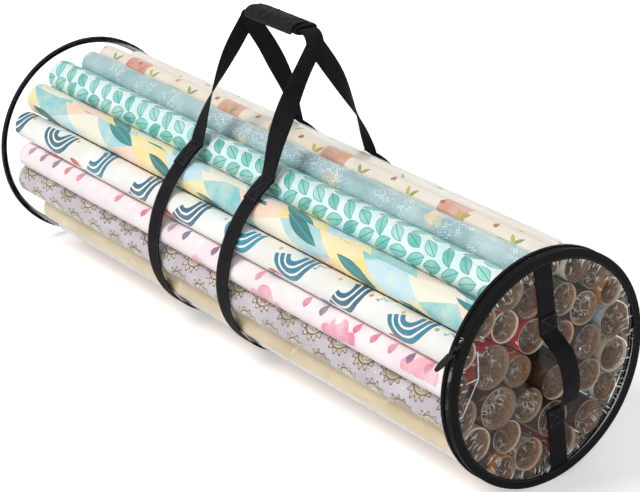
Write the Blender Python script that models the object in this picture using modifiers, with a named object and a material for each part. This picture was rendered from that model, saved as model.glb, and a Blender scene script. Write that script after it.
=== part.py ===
"""Gift wrap organizer: a clear round bag for rolls of wrapping paper, with a zipped end cap.

The bag's axis runs along X. The zipped cap is at +X and the sewn end is at -X. The bag stands on the
floor at z = 0, and the origin is the middle of its bounding box at floor level. Angles go round the
bag's axis from +Y towards +Z.
"""
import math

import bmesh
import bpy
from mathutils import Matrix, Vector

MM = 0.001

# The bag as a whole
BAG_LENGTH = 1016 * MM  # from the sewn end's face to the cap's face
RIM_RADIUS = 148 * MM  # outside of the bindings that the bag stands on
CAP_HANDLE_BOW = 32 * MM  # how far the cap's webbing handle stands out past the cap's face
FACE_X = (BAG_LENGTH - CAP_HANDLE_BOW) / 2  # the cap's face, so that the middle of the bounding box is at x = 0
FAR_X = FACE_X - BAG_LENGTH  # the sewn end's face
MIDDLE_X = (FACE_X + FAR_X) / 2
SIDES = 48  # flat facets round every turned piece, one of them on the floor
SEAT_GAP = 0.3 * MM  # between pieces that touch

# Sheet, bindings and zipper tape
SHEET_THICKNESS = 0.5 * MM
BINDING_THICKNESS = 1.5 * MM
TAPE_THICKNESS = 0.8 * MM
FAR_FACE_WIDTH = 9 * MM  # how far the sewn end's binding reaches over its face
FAR_SIDE_WIDTH = 8 * MM  # and along the bag
CAP_FACE_WIDTH = 12 * MM
CAP_SIDE_WIDTH = 4 * MM
BODY_BINDING_WIDTH = 5 * MM

# Zipper, with its split all round the bag
SPLIT_DEPTH = 9 * MM  # from the cap's face back to the middle of the zipper
SLIT_WIDTH = 1.0 * MM  # between the two rows of teeth, where the slider's post runs
CHAIN_WIDTH = 1.8 * MM  # one row of teeth, from its tape to the tips
TOOTH_DEPTH = 0.7 * MM
CHAIN_THICKNESS = 2.4 * MM
TOOTH_PITCH = 6.2 * MM
HINGE_START_DEG = 102
HINGE_END_DEG = 150  # between these angles the cap has a hinge strip and no teeth
PARKING_DEG = 13  # arc at each end of the teeth where the slider parks clear of the cap's teeth
SLIDER_REST_DEG = 157
SLIDER_LENGTH_DEG = 5
SLIDER_WIDTH = 8.4 * MM
SLIDER_PLATE = 1.2 * MM
SLIDER_FLANGE = 0.9 * MM
SLIDER_POST = 0.5 * MM
SLIDER_CLEARANCE = 0.5 * MM
SLIDER_STEPS = 4
BRIDGE_POST_WIDTH = 1.2 * MM  # the bridge on the slider that holds the pull
BRIDGE_BAR_HEIGHT = 1.2 * MM
BRIDGE_BAR_LENGTH = 1.4 * MM
STOP_LENGTH = 2.2 * MM
STOP_SPACE_DEG = 0.4
PULL_LENGTH = 30 * MM
PULL_WIDTH = 9 * MM
PULL_TIP_WIDTH = 6 * MM
PULL_THICKNESS = 1.6 * MM
PULL_NECK_WIDTH = 3.4 * MM
PULL_EYE_RADIUS = 1.25 * MM
PULL_EYE_WALL = 0.85 * MM
PULL_EYE_HEIGHT = 2.6 * MM  # from the slider's plate to the line that the pull swings about
EYE_SIDES = 16
PULL_LIFT_DEG = 34  # how far the pull stands off the bag

# Webbing and where it lies
WEBBING_WIDTH = 26 * MM
WEBBING_THICKNESS = 1.6 * MM
BELT_SPACING = 160 * MM  # between the two belts, centre to centre
BELT_CENTRE = MIDDLE_X - 12 * MM  # middle of the pair, a little towards the sewn end from the bag's middle
BELT_SLANT = 36 * MM  # how far each belt drifts away from the cap under the bag
BELT_END_DEG = 270 - 19.5 * 360 / SIDES  # on a corner between two facets
BELT_ARC_DEG = 39 * 360 / SIDES  # as far round on the other side
HANDLE_OVERLAP_FACETS = 2  # how far a handle's sewn end lies on its belt
HANDLE_STATIONS = 5  # between two points that a handle passes through
HANDLE_BOW_SHARES = ((0.10, 0.020), (0.34, 0.055), (0.68, 0.050))  # up a leg, and how far it bows away
HANDLE_STEP = 4 * MM  # straight webbing that shows beside the grip
HANDLE_LAYER = 1.2 * MM  # the handles lie this far above and below the grip's middle
TWIST_END_SHARE = 0.86  # share of the rise at which a leg has turned by a quarter
CORNER_STEPS = 4

# Grip: a padded wrap round both handles, closed by a flap with hook and loop tape
GRIP_HEIGHT = 295 * MM  # above the bag's axis
GRIP_LENGTH = 108 * MM
GRIP_CENTRE = MIDDLE_X - 16 * MM
GRIP_CORNER = 14 * MM  # radius at which the webbing bends down beside the grip
GRIP_SIDE_ROOM = 0.8 * MM
GRIP_HALF_CAVITY = 3.2 * MM
GRIP_WALL = 4.0 * MM
GRIP_EDGE = 1.2 * MM  # softened edge at each end
GRIP_SIDES = 36
GRIP_POWER = 2.6  # 2 is an ellipse, more is squarer
CAVITY_POWER = 4
GRIP_HALF_WIDTH = WEBBING_WIDTH / 2 + GRIP_SIDE_ROOM + GRIP_WALL
GRIP_HALF_HEIGHT = GRIP_HALF_CAVITY + GRIP_WALL
FLAP_THICKNESS = 2.0 * MM
FLAP_INSET = 3 * MM
FASTENER_THICKNESS = 0.8 * MM
FASTENER_INSET = 10 * MM
FLAP_START_DEG = 80
FLAP_END_DEG = 200
FASTENER_START_DEG = 130
FASTENER_END_DEG = 190

# Cap handle: webbing that bows out from the cap between two sewn ends
CAP_STRAP_TILT_DEG = 9
CAP_STRAP_Y = 6 * MM
CAP_HANDLE_TOP = 48 * MM  # above the cap's centre
CAP_HANDLE_BOTTOM = 53 * MM  # below it
CAP_HANDLE_TAB = 24 * MM  # each sewn end
# Down the handle, and how far it stands out
CAP_HANDLE_SHARES = (
    (0.0, 0.03), (0.06, 0.28), (0.20, 0.78), (0.5, 1.0), (0.80, 0.78), (0.94, 0.28), (1.0, 0.03),
)
CAP_HANDLE_STEPS = 3
CAP_STRAP_ROOM = 4 * MM  # from the strap's outer end to the rim's inside

# Rolls of wrapping paper
ROLL_SIDES = 22
NEAR_ROOM = 5.8 * MM  # from the middle of the zipper back to the rolls
FAR_ROOM = 24 * MM  # from the sewn end to the longest roll

# Each roll: across and up from the axis, and its diameter, as shares of the bag's inside radius.
ROLL_SHARES = (
    (-0.38, 0.74, 0.33), (-0.64, 0.54, 0.31), (-0.11, 0.86, 0.24), (-0.79, 0.31, 0.28),
    (-0.87, 0.03, 0.25), (-0.80, -0.25, 0.32), (-0.63, -0.55, 0.32), (-0.46, -0.74, 0.19),
    (0.12, 0.88, 0.23), (0.36, 0.79, 0.28), (0.60, 0.62, 0.26), (0.78, 0.42, 0.24),
    (0.84, 0.13, 0.32), (0.85, -0.20, 0.31), (0.78, -0.50, 0.26), (0.54, -0.69, 0.31),
    (0.22, -0.83, 0.29), (-0.22, -0.86, 0.22), (-0.35, 0.43, 0.29), (-0.46, 0.13, 0.39),
    (-0.46, -0.26, 0.38), (-0.28, -0.58, 0.30), (-0.02, -0.72, 0.30), (0.60, -0.32, 0.30),
    (0.58, 0.02, 0.31), (0.46, 0.30, 0.31), (0.27, 0.56, 0.29), (-0.08, 0.56, 0.28),
    (-0.04, 0.27, 0.31), (-0.16, -0.05, 0.29), (-0.10, -0.38, 0.31), (0.20, -0.50, 0.33),
    (0.24, 0.12, 0.28), (0.21, -0.17, 0.31),
)
ROLL_WALL_SHARES = (0.13, 0.18, 0.14, 0.15, 0.19, 0.11, 0.19)  # of the roll's radius
FAR_SPREAD = 40 * MM  # how much shorter than the longest roll a roll may be
NEAR_SPREAD = 6 * MM  # how far behind the foremost roll a roll may lie
FAR_SPREAD_SHARES = (0.05, 0.02, 0.6, 0, 0.5, 0.2, 1, 0.75, 0.35, 0.85, 0.65, 0.15, 0.3, 0.45, 0.1, 0.55)
NEAR_SPREAD_SHARES = (0, 0.35, 0.15, 0.7, 0, 0.5, 0.15, 1, 0.35, 0, 0.8)

# Colours, linear, with roughness and metallic
FINISHES = {
    "clear_sheet": ((0.86, 0.89, 0.90, 0.25), 0.08, 0.0),
    "black_binding": ((0.012, 0.012, 0.013, 1.0), 0.55, 0.0),
    "black_webbing": ((0.010, 0.010, 0.011, 1.0), 0.80, 0.0),
    "black_teeth": ((0.014, 0.014, 0.015, 1.0), 0.35, 0.0),
    "slider_metal": ((0.030, 0.030, 0.033, 1.0), 0.30, 1.0),
    "grip_fabric": ((0.016, 0.016, 0.018, 1.0), 0.85, 0.0),
}
ROLL_COLOURS = (
    (0.36, 0.78, 0.71), (0.93, 0.72, 0.36), (0.47, 0.66, 0.72), (0.90, 0.90, 0.88), (0.90, 0.60, 0.66),
    (0.69, 0.61, 0.64), (0.77, 0.65, 0.46), (0.80, 0.28, 0.22), (0.90, 0.80, 0.68), (0.42, 0.55, 0.36),
)
for number, paper in enumerate(ROLL_COLOURS):
    FINISHES["paper_%d" % number] = (paper + (1.0,), 0.6, 0.0)

# Places worked out from the sizes above
HALF_SIDE = math.pi / SIDES
AXIS_Z = RIM_RADIUS * math.cos(HALF_SIDE)
SPLIT_X = FACE_X - SPLIT_DEPTH
TAPE_OUTSIDE = RIM_RADIUS - BINDING_THICKNESS - SEAT_GAP
TAPE_INSIDE = TAPE_OUTSIDE - TAPE_THICKNESS
SHEET_OUTSIDE = TAPE_INSIDE - SEAT_GAP
SHEET_INSIDE = SHEET_OUTSIDE - SHEET_THICKNESS
CHAIN_MIDDLE = (TAPE_OUTSIDE + TAPE_INSIDE) / 2
CHAIN_OUTSIDE = CHAIN_MIDDLE + CHAIN_THICKNESS / 2
CHAIN_INSIDE = CHAIN_MIDDLE - CHAIN_THICKNESS / 2
CHAIN_TIP = SLIT_WIDTH / 2
CHAIN_BACK = CHAIN_TIP + CHAIN_WIDTH
TAPE_EDGE = CHAIN_BACK + SEAT_GAP
SLIDER_TOP = CHAIN_OUTSIDE + SLIDER_CLEARANCE
SLIDER_ROOF = SLIDER_TOP + SLIDER_PLATE
PULL_HINGE_RADIUS = SLIDER_ROOF + PULL_EYE_HEIGHT
PULL_DIRECTION = math.radians(SLIDER_REST_DEG + 90 - PULL_LIFT_DEG)
PULL_REACH = -(PULL_HINGE_RADIUS * math.cos(math.radians(SLIDER_REST_DEG))
               + PULL_LENGTH * math.cos(PULL_DIRECTION) + PULL_THICKNESS / 2 * math.sin(PULL_DIRECTION))
AXIS_Y = (PULL_REACH - AXIS_Z) / 2  # puts the middle of the bounding box at y = 0
CHAIN_START_DEG = HINGE_END_DEG + 1 + math.degrees(STOP_LENGTH / RIM_RADIUS)
CHAIN_END_DEG = HINGE_START_DEG + 360 - 1 - math.degrees(STOP_LENGTH / RIM_RADIUS)

parts = bpy.data.collections.new("gift_wrap_organizer")
tools = bpy.data.collections.new("cutters")
materials = {}


def clear_scene():
    for old in list(bpy.data.objects):
        bpy.data.objects.remove(old, do_unlink=True)


def finish(name, colour, roughness, metallic):
    """A Principled material, made once for each name."""
    if name not in materials:
        material = bpy.data.materials.new(name)
        material.use_nodes = True
        shader = material.node_tree.nodes["Principled BSDF"]
        shader.inputs["Base Color"].default_value = colour
        shader.inputs["Roughness"].default_value = roughness
        shader.inputs["Metallic"].default_value = metallic
        shader.inputs["Alpha"].default_value = colour[3]
        materials[name] = material
    return materials[name]


def add_part(name, mesh, finish_name, parent=None):
    """Makes the named object, in world places, and hangs it on the empty of its joint."""
    part = bpy.data.objects.new(name, mesh)
    parts.objects.link(part)
    colour, roughness, metallic = FINISHES[finish_name]
    mesh.materials.append(finish(name + "_finish", colour, roughness, metallic))
    mesh.shade_smooth()
    mesh.set_sharp_from_angle(angle=math.radians(30))
    hang(part, parent)
    return part


def hang(part, parent):
    if parent is not None:
        part.parent = parent
        part.matrix_parent_inverse = Matrix.Translation(parent.location).inverted()


def unite(part, tool):
    """Joins the tool's solid to the part's, and keeps the tool hidden with the cutters."""
    parts.objects.unlink(tool)
    tools.objects.link(tool)
    tool.hide_render = True
    tool.display_type = "WIRE"
    join = part.modifiers.new("join", "BOOLEAN")
    join.operation = "UNION"
    join.solver = "EXACT"
    join.object = tool


def pivot(name, place):
    """An empty on a joint's axis."""
    empty = bpy.data.objects.new(name, None)
    empty.location = place
    parts.objects.link(empty)
    return empty


def on_bag(x, radius, angle):
    """A point at this station along the bag, this far from its axis."""
    return Vector((x, AXIS_Y + radius * math.cos(angle), AXIS_Z + radius * math.sin(angle)))


def new_mesh(name, bm):
    bmesh.ops.recalc_face_normals(bm, faces=bm.faces)
    mesh = bpy.data.meshes.new(name)
    bm.to_mesh(mesh)
    bm.free()
    return mesh


def turned(name, profile, finish_name, parent=None):
    """A ring round the bag's axis, from an outline of (radius, station) points, with a facet on the floor."""
    bm = bmesh.new()
    corners = [bm.verts.new((radius, 0, station)) for radius, station in profile]
    for first, second in zip(corners, corners[1:] + corners[:1]):
        bm.edges.new((first, second))
    mesh = bpy.data.meshes.new(name)
    bm.to_mesh(mesh)
    bm.free()
    part = add_part(name, mesh, finish_name)
    screw = part.modifiers.new("turn", "SCREW")
    screw.axis = "Z"
    screw.angle = 2 * math.pi
    screw.steps = SIDES
    screw.render_steps = SIDES
    screw.use_merge_vertices = True
    screw.merge_threshold = MM / 100
    screw.use_smooth_shade = True
    part.location = (0, AXIS_Y, AXIS_Z)
    part.rotation_euler = (Matrix.Rotation(math.pi / 2, 4, "Y") @ Matrix.Rotation(HALF_SIDE, 4, "Z")).to_euler()
    hang(part, parent)
    return part


def ring_outline(inside, outside, start, end):
    """Corners of a plain ring, from its outer side's far corner round."""
    return [(outside, end), (outside, start), (inside, start), (inside, end)]


def disc(name, radius, start, thickness, finish_name, parent=None):
    bm = bmesh.new()
    turn = Matrix.Rotation(math.pi / 2, 4, "Y") @ Matrix.Rotation(HALF_SIDE, 4, "Z")
    place = Matrix.Translation((start + thickness / 2, AXIS_Y, AXIS_Z)) @ turn
    bmesh.ops.create_cone(bm, cap_ends=True, segments=SIDES, radius1=radius, radius2=radius, depth=thickness,
                          matrix=place)
    return add_part(name, new_mesh(name, bm), finish_name, parent)


def arc(name, profile, start_deg, end_deg, steps, finish_name, parent=None):
    """A closed outline of (radius, station) points carried round part of the bag."""
    bm = bmesh.new()
    start = math.radians(start_deg)
    corners = [bm.verts.new(on_bag(station, radius, start)) for radius, station in profile]
    face = bm.faces.new(corners)
    bmesh.ops.spin(bm, geom=[face], cent=(0, AXIS_Y, AXIS_Z), axis=(1, 0, 0), dvec=(0, 0, 0),
                   angle=math.radians(end_deg) - start, steps=steps, use_merge=False, use_duplicate=False)
    return add_part(name, new_mesh(name, bm), finish_name, parent)


def loft(name, sections, finish_name, parent=None, bore=None):
    """Joins rings of points end to end, with flat ends or, given inner rings too, as a tube."""
    bm = bmesh.new()

    def skin(rings):
        rows = [[bm.verts.new(point) for point in ring] for ring in rings]
        for near, far in zip(rows, rows[1:]):
            for k in range(len(near)):
                bm.faces.new((near[k - 1], near[k], far[k], far[k - 1]))
        return rows

    outer = skin(sections)
    if bore is None:
        bm.faces.new(outer[0])
        bm.faces.new(outer[-1])
    else:
        inner = skin(bore)
        for row, hole in ((outer[0], inner[0]), (outer[-1], inner[-1])):
            for k in range(len(row)):
                bm.faces.new((row[k - 1], row[k], hole[k], hole[k - 1]))
    return add_part(name, new_mesh(name, bm), finish_name, parent)


def toothed_row(name, side, start_deg, end_deg, finish_name, parent=None):
    """A row of teeth on one tape: a bead whose inner edge runs to a tip and back for each tooth."""
    start = math.radians(start_deg)
    span = math.radians(end_deg) - start
    teeth = max(2, round(span * CHAIN_MIDDLE / TOOTH_PITCH))
    sections = []
    for k in range(2 * teeth + 1):
        high = k % 2 == (side < 0)
        reach = CHAIN_TIP if high else CHAIN_TIP + TOOTH_DEPTH
        tip = SPLIT_X + side * reach
        back = SPLIT_X + side * CHAIN_BACK
        angle = start + span * k / (2 * teeth)
        corners = ((CHAIN_OUTSIDE, back), (CHAIN_OUTSIDE, tip), (CHAIN_INSIDE, tip), (CHAIN_INSIDE, back))
        sections.append([on_bag(station, radius, angle) for radius, station in corners])
    return loft(name, sections, finish_name, parent)


def ribbon(name, centres, widths, width, finish_name, parent=None):
    """Webbing along a path: a flat strip with the given crosswise directions, thickened evenly."""
    bm = bmesh.new()
    bmesh.ops.create_grid(bm, x_segments=len(centres) - 1, y_segments=1, size=1)
    bm.verts.ensure_lookup_table()
    rows = sorted(bm.verts, key=lambda vert: (round(vert.co.x * len(centres) ** 2), vert.co.y))
    for k, (centre, across) in enumerate(zip(centres, widths)):
        along = centres[min(k + 1, len(centres) - 1)] - centres[max(k - 1, 0)]
        flat = (across - along * across.dot(along) / along.length_squared).normalized()
        rows[2 * k].co = centre - flat * width / 2
        rows[2 * k + 1].co = centre + flat * width / 2
    part = add_part(name, new_mesh(name, bm), finish_name, parent)
    thicken = part.modifiers.new("thickness", "SOLIDIFY")
    thicken.thickness = WEBBING_THICKNESS
    thicken.offset = 0
    thicken.use_even_offset = True
    return part


def smooth_through(points, steps):
    """A Catmull-Rom curve through the points, with this many steps from each to the next."""
    ends = [points[0] * 2 - points[1]] + list(points) + [points[-1] * 2 - points[-2]]
    curve = []
    for before, here, there, after in zip(ends, ends[1:], ends[2:], ends[3:]):
        for k in range(steps):
            t = k / steps
            bend = 2 * before - 5 * here + 4 * there - after
            turn = 3 * here - before - 3 * there + after
            curve.append(0.5 * (2 * here + (there - before) * t + bend * t ** 2 + turn * t ** 3))
    return curve + [points[-1]]


def build_shell():
    """The clear sheet, the sewn end and the bindings and tapes that stay with the body."""
    sheet_start = FAR_X + BINDING_THICKNESS + SHEET_THICKNESS + 2 * SEAT_GAP
    sheet_end = SPLIT_X - SLIDER_WIDTH / 2 - SLIDER_CLEARANCE
    turned("body_sheet", ring_outline(SHEET_INSIDE, SHEET_OUTSIDE, sheet_start, sheet_end), "clear_sheet")
    disc("far_panel", TAPE_OUTSIDE, FAR_X + BINDING_THICKNESS + SEAT_GAP, SHEET_THICKNESS, "clear_sheet")
    turned("far_binding", [
        (RIM_RADIUS, FAR_X + FAR_SIDE_WIDTH),
        (RIM_RADIUS, FAR_X),
        (RIM_RADIUS - FAR_FACE_WIDTH, FAR_X),
        (RIM_RADIUS - FAR_FACE_WIDTH, FAR_X + BINDING_THICKNESS),
        (RIM_RADIUS - BINDING_THICKNESS, FAR_X + BINDING_THICKNESS),
        (RIM_RADIUS - BINDING_THICKNESS, FAR_X + FAR_SIDE_WIDTH),
    ], "black_binding")
    binding_end = SPLIT_X - SLIDER_WIDTH / 2 - SLIDER_CLEARANCE
    binding_start = binding_end - BODY_BINDING_WIDTH
    rim_inside = RIM_RADIUS - BINDING_THICKNESS
    turned("body_rim_binding", ring_outline(rim_inside, RIM_RADIUS, binding_start, binding_end),
           "black_binding")
    turned("body_zipper_tape", ring_outline(TAPE_INSIDE, TAPE_OUTSIDE, binding_start, SPLIT_X - TAPE_EDGE),
           "black_binding")
    toothed_row("body_zipper_teeth", -1, CHAIN_START_DEG, CHAIN_END_DEG, "black_teeth")
    strip = ring_outline(TAPE_INSIDE, TAPE_OUTSIDE, SPLIT_X - CHAIN_BACK, SPLIT_X + CHAIN_BACK)
    hinge_steps = round((HINGE_END_DEG - HINGE_START_DEG) * SIDES / 360)
    arc("cap_hinge_strip", strip, HINGE_START_DEG, HINGE_END_DEG, hinge_steps, "black_binding")


def build_cap(hinge):
    """The cap: clear panel, binding, its half of the zipper and its webbing handle."""
    face_inside = RIM_RADIUS - CAP_FACE_WIDTH
    turned("cap_binding", [
        (RIM_RADIUS, FACE_X),
        (RIM_RADIUS, FACE_X - CAP_SIDE_WIDTH),
        (RIM_RADIUS - BINDING_THICKNESS, FACE_X - CAP_SIDE_WIDTH),
        (RIM_RADIUS - BINDING_THICKNESS, FACE_X - BINDING_THICKNESS),
        (face_inside, FACE_X - BINDING_THICKNESS),
        (face_inside, FACE_X),
    ], "black_binding", hinge)
    strap_back = FACE_X - BINDING_THICKNESS - SEAT_GAP - WEBBING_THICKNESS
    panel_front = strap_back - SEAT_GAP
    panel_radius = TAPE_INSIDE - SEAT_GAP
    disc("cap_panel", panel_radius, panel_front - SHEET_THICKNESS, SHEET_THICKNESS, "clear_sheet", hinge)
    turned("cap_zipper_tape", ring_outline(TAPE_INSIDE, TAPE_OUTSIDE, SPLIT_X + TAPE_EDGE,
                                           FACE_X - BINDING_THICKNESS - SEAT_GAP), "black_binding", hinge)
    toothed_row("cap_zipper_teeth", 1, CHAIN_START_DEG + PARKING_DEG, CHAIN_END_DEG - PARKING_DEG,
                "black_teeth", hinge)

    tilt = math.radians(CAP_STRAP_TILT_DEG)
    up = Vector((0, -math.sin(tilt), math.cos(tilt)))
    across = Vector((0, math.cos(tilt), math.sin(tilt)))
    centre = Vector((0, AXIS_Y + CAP_STRAP_Y, AXIS_Z))
    middle_of_strap = strap_back + WEBBING_THICKNESS / 2
    end = panel_radius * math.cos(HALF_SIDE) - CAP_STRAP_ROOM
    straps = (("cap_strap_upper", end, CAP_HANDLE_TOP), ("cap_strap_lower", -CAP_HANDLE_BOTTOM, -end))
    for name, high, low in straps:
        line = [centre + up * high, centre + up * low]
        line = [point + Vector((middle_of_strap, 0, 0)) for point in line]
        ribbon(name, line, [across, across], WEBBING_WIDTH, "black_webbing", hinge)
    tab_x = middle_of_strap + WEBBING_THICKNESS + SEAT_GAP
    out_x = FACE_X + CAP_HANDLE_BOW - WEBBING_THICKNESS / 2
    span = CAP_HANDLE_TOP + CAP_HANDLE_BOTTOM
    bow = [(tab_x, CAP_HANDLE_TOP + CAP_HANDLE_TAB), (tab_x, CAP_HANDLE_TOP + CAP_HANDLE_TAB / 4)]
    bow += [(tab_x + (out_x - tab_x) * out, CAP_HANDLE_TOP - span * down) for down, out in CAP_HANDLE_SHARES]
    bow += [(tab_x, -CAP_HANDLE_BOTTOM - CAP_HANDLE_TAB / 4), (tab_x, -CAP_HANDLE_BOTTOM - CAP_HANDLE_TAB)]
    knots = [centre + up * height + Vector((station, 0, 0)) for station, height in bow]
    line = smooth_through(knots, CAP_HANDLE_STEPS)
    ribbon("cap_handle", line, [across] * len(line), WEBBING_WIDTH, "black_webbing", hinge)


def build_slider(slider_pivot, pull_pivot):
    """The slider's two plates, joined by a post through the slit, and the pull that hangs on its bridge."""
    half = SLIDER_WIDTH / 2
    post = SLIDER_POST / 2
    lip = TAPE_OUTSIDE + SLIDER_CLEARANCE
    floor = CHAIN_INSIDE - SLIDER_CLEARANCE
    base = floor - SLIDER_PLATE
    wall = half - SLIDER_FLANGE
    outline = [(SLIDER_ROOF, -half), (SLIDER_ROOF, half), (lip, half), (lip, wall), (SLIDER_TOP, wall),
               (SLIDER_TOP, post), (floor, post), (floor, half), (base, half), (base, -half), (floor, -half),
               (floor, -post), (SLIDER_TOP, -post), (SLIDER_TOP, -wall), (lip, -wall), (lip, -half)]
    outline = [(radius, SPLIT_X + across) for radius, across in outline]
    half_arc = SLIDER_LENGTH_DEG / 2
    slider = arc("zipper_slider", outline, SLIDER_REST_DEG - half_arc, SLIDER_REST_DEG + half_arc, SLIDER_STEPS,
                 "slider_metal", slider_pivot)

    rest = math.radians(SLIDER_REST_DEG)
    outward = Vector((0, math.cos(rest), math.sin(rest)))
    tangent = Vector((0, -math.sin(rest), math.cos(rest)))
    hinge_line = on_bag(SPLIT_X, PULL_HINGE_RADIUS, rest)
    inner = PULL_NECK_WIDTH / 2 + SEAT_GAP
    outer = inner + BRIDGE_POST_WIDTH
    foot = -PULL_EYE_HEIGHT - SLIDER_PLATE / 2
    top = BRIDGE_BAR_HEIGHT / 2
    arch = [(-outer, foot), (-outer, top), (outer, top), (outer, foot), (inner, foot), (inner, -top),
            (-inner, -top), (-inner, foot)]
    sections = []
    for side in (-1, 1):
        shift = hinge_line + tangent * side * BRIDGE_BAR_LENGTH / 2
        sections.append([shift + Vector((across, 0, 0)) + outward * height for across, height in arch])
    unite(slider, loft("slider_bridge_tool", sections, "slider_metal"))

    along = Vector((0, math.cos(PULL_DIRECTION), math.sin(PULL_DIRECTION)))
    thick = Vector((0, -math.sin(PULL_DIRECTION), math.cos(PULL_DIRECTION)))

    def eye_ring(radius, across):
        ring = []
        for k in range(EYE_SIDES):
            turn = 2 * math.pi * k / EYE_SIDES
            spoke = along * math.cos(turn) + thick * math.sin(turn)
            ring.append(hinge_line + Vector((across, 0, 0)) + spoke * radius)
        return ring

    neck = PULL_NECK_WIDTH / 2
    eye_outside = PULL_EYE_RADIUS + PULL_EYE_WALL
    pull = loft("zipper_pull", [eye_ring(eye_outside, -neck), eye_ring(eye_outside, neck)], "slider_metal",
                pull_pivot, [eye_ring(PULL_EYE_RADIUS, -neck), eye_ring(PULL_EYE_RADIUS, neck)])
    root = PULL_EYE_RADIUS + PULL_EYE_WALL / 2
    stem = neck - PULL_EYE_WALL / 4
    shoulder = eye_outside + PULL_THICKNESS
    blade = [(stem, root), (stem, shoulder), (PULL_WIDTH / 2, shoulder + PULL_WIDTH / 4),
             (PULL_WIDTH / 2, PULL_LENGTH - PULL_WIDTH), (PULL_TIP_WIDTH / 2, PULL_LENGTH - PULL_TIP_WIDTH / 4),
             (PULL_TIP_WIDTH / 4, PULL_LENGTH)]
    blade += [(-across, reach) for across, reach in reversed(blade)]
    sections = []
    for side in (-1, 1):
        shift = hinge_line + thick * side * PULL_THICKNESS / 2
        sections.append([shift + Vector((across, 0, 0)) + along * reach for across, reach in blade])
    unite(pull, loft("pull_blade_tool", sections, "slider_metal"))


def build_stops():
    """A metal stop at each end of the body's row of teeth."""
    length = math.degrees(STOP_LENGTH / CHAIN_MIDDLE)
    outline = [(CHAIN_OUTSIDE, SPLIT_X - CHAIN_BACK), (CHAIN_OUTSIDE, SPLIT_X - CHAIN_TIP),
               (CHAIN_INSIDE, SPLIT_X - CHAIN_TIP), (CHAIN_INSIDE, SPLIT_X - CHAIN_BACK)]
    low = HINGE_END_DEG + STOP_SPACE_DEG
    high = HINGE_START_DEG + 360 - STOP_SPACE_DEG
    arc("zipper_first_stop", outline, low, low + length, 1, "slider_metal")
    arc("zipper_last_stop", outline, high - length, high, 1, "slider_metal")


def belt_station(side, angle_deg):
    """Where a belt's middle lies along the bag at this angle; side is -1 for the left one, 1 for the right."""
    share = (angle_deg - BELT_END_DEG) / BELT_ARC_DEG
    return BELT_CENTRE + side * BELT_SPACING / 2 - BELT_SLANT * (1 - math.cos(2 * math.pi * share)) / 2


def build_belts():
    """Two webbing belts sewn round the underside, from one handle's end to the other's."""
    radius = SHEET_OUTSIDE + (SEAT_GAP + WEBBING_THICKNESS / 2) / math.cos(HALF_SIDE)
    for name, side in (("left_belt", -1), ("right_belt", 1)):
        steps = round(BELT_ARC_DEG * SIDES / 360)
        line = []
        for k in range(steps + 1):
            angle = BELT_END_DEG + BELT_ARC_DEG * k / steps
            line.append(on_bag(belt_station(side, angle), radius, math.radians(angle)))
        ribbon(name, line, [Vector((1, 0, 0))] * len(line), WEBBING_WIDTH, "black_webbing")


def handle_leg(side, layer):
    """Half of the front handle, from its sewn end to the grip's middle, with the crosswise directions.

    side is -1 for the leg nearer the sewn end of the bag and 1 for the other. layer is how far above the
    middle of the grip the webbing runs.
    """
    radius = SHEET_OUTSIDE + (2 * SEAT_GAP + WEBBING_THICKNESS * 3 / 2) / math.cos(HALF_SIDE)
    facet = 360 / SIDES
    line = []
    for k in range(HANDLE_OVERLAP_FACETS, 0, -1):
        angle = BELT_END_DEG + facet * k
        line.append(on_bag(belt_station(side, angle), radius, math.radians(angle)))
    start = on_bag(belt_station(side, BELT_END_DEG), radius, math.radians(BELT_END_DEG))
    corner = GRIP_CORNER + layer
    grip_end = GRIP_CENTRE + side * GRIP_LENGTH / 2
    level = AXIS_Z + GRIP_HEIGHT + layer
    top = Vector((grip_end + side * (HANDLE_STEP + corner), AXIS_Y, level - corner))
    rise = top - start
    knots = [start]
    for share, bow in HANDLE_BOW_SHARES:
        knots.append(start + rise * share + Vector((0, -rise.z * bow, 0)))
    line += smooth_through(knots + [top], HANDLE_STATIONS)
    for k in range(1, CORNER_STEPS + 1):
        turn = math.pi / 2 * k / CORNER_STEPS
        line.append(top + Vector((-side * corner * (1 - math.cos(turn)), 0, corner * math.sin(turn))))
    line += [Vector((grip_end, AXIS_Y, level)), Vector((GRIP_CENTRE, AXIS_Y, level))]

    widths = []
    for point in line:
        share = min(max((point.z - start.z) / rise.z, 0), 1)
        share = min(share / TWIST_END_SHARE, 1)
        turn = math.pi / 2 * share * share * (3 - 2 * share)
        widths.append(Vector((side * math.cos(turn), math.sin(turn), 0)))
    return line, widths


def build_handles():
    """The front and back handles, each a webbing loop that is twisted on its way up to the grip."""
    for name, face, layer in (("front_handle", 1, HANDLE_LAYER), ("back_handle", -1, -HANDLE_LAYER)):
        left_line, left_widths = handle_leg(-1, layer)
        right_line, right_widths = handle_leg(1, layer)
        line = left_line + right_line[-2::-1]
        widths = left_widths + right_widths[-2::-1]
        line = [Vector((p.x, AXIS_Y + face * (p.y - AXIS_Y), p.z)) for p in line]
        widths = [Vector((w.x, face * w.y, 0)) for w in widths]
        for k in range(1, len(widths)):
            if widths[k].dot(widths[k - 1]) < 0:
                widths[k].negate()
        ribbon(name, line, widths, WEBBING_WIDTH, "black_webbing")


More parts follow.
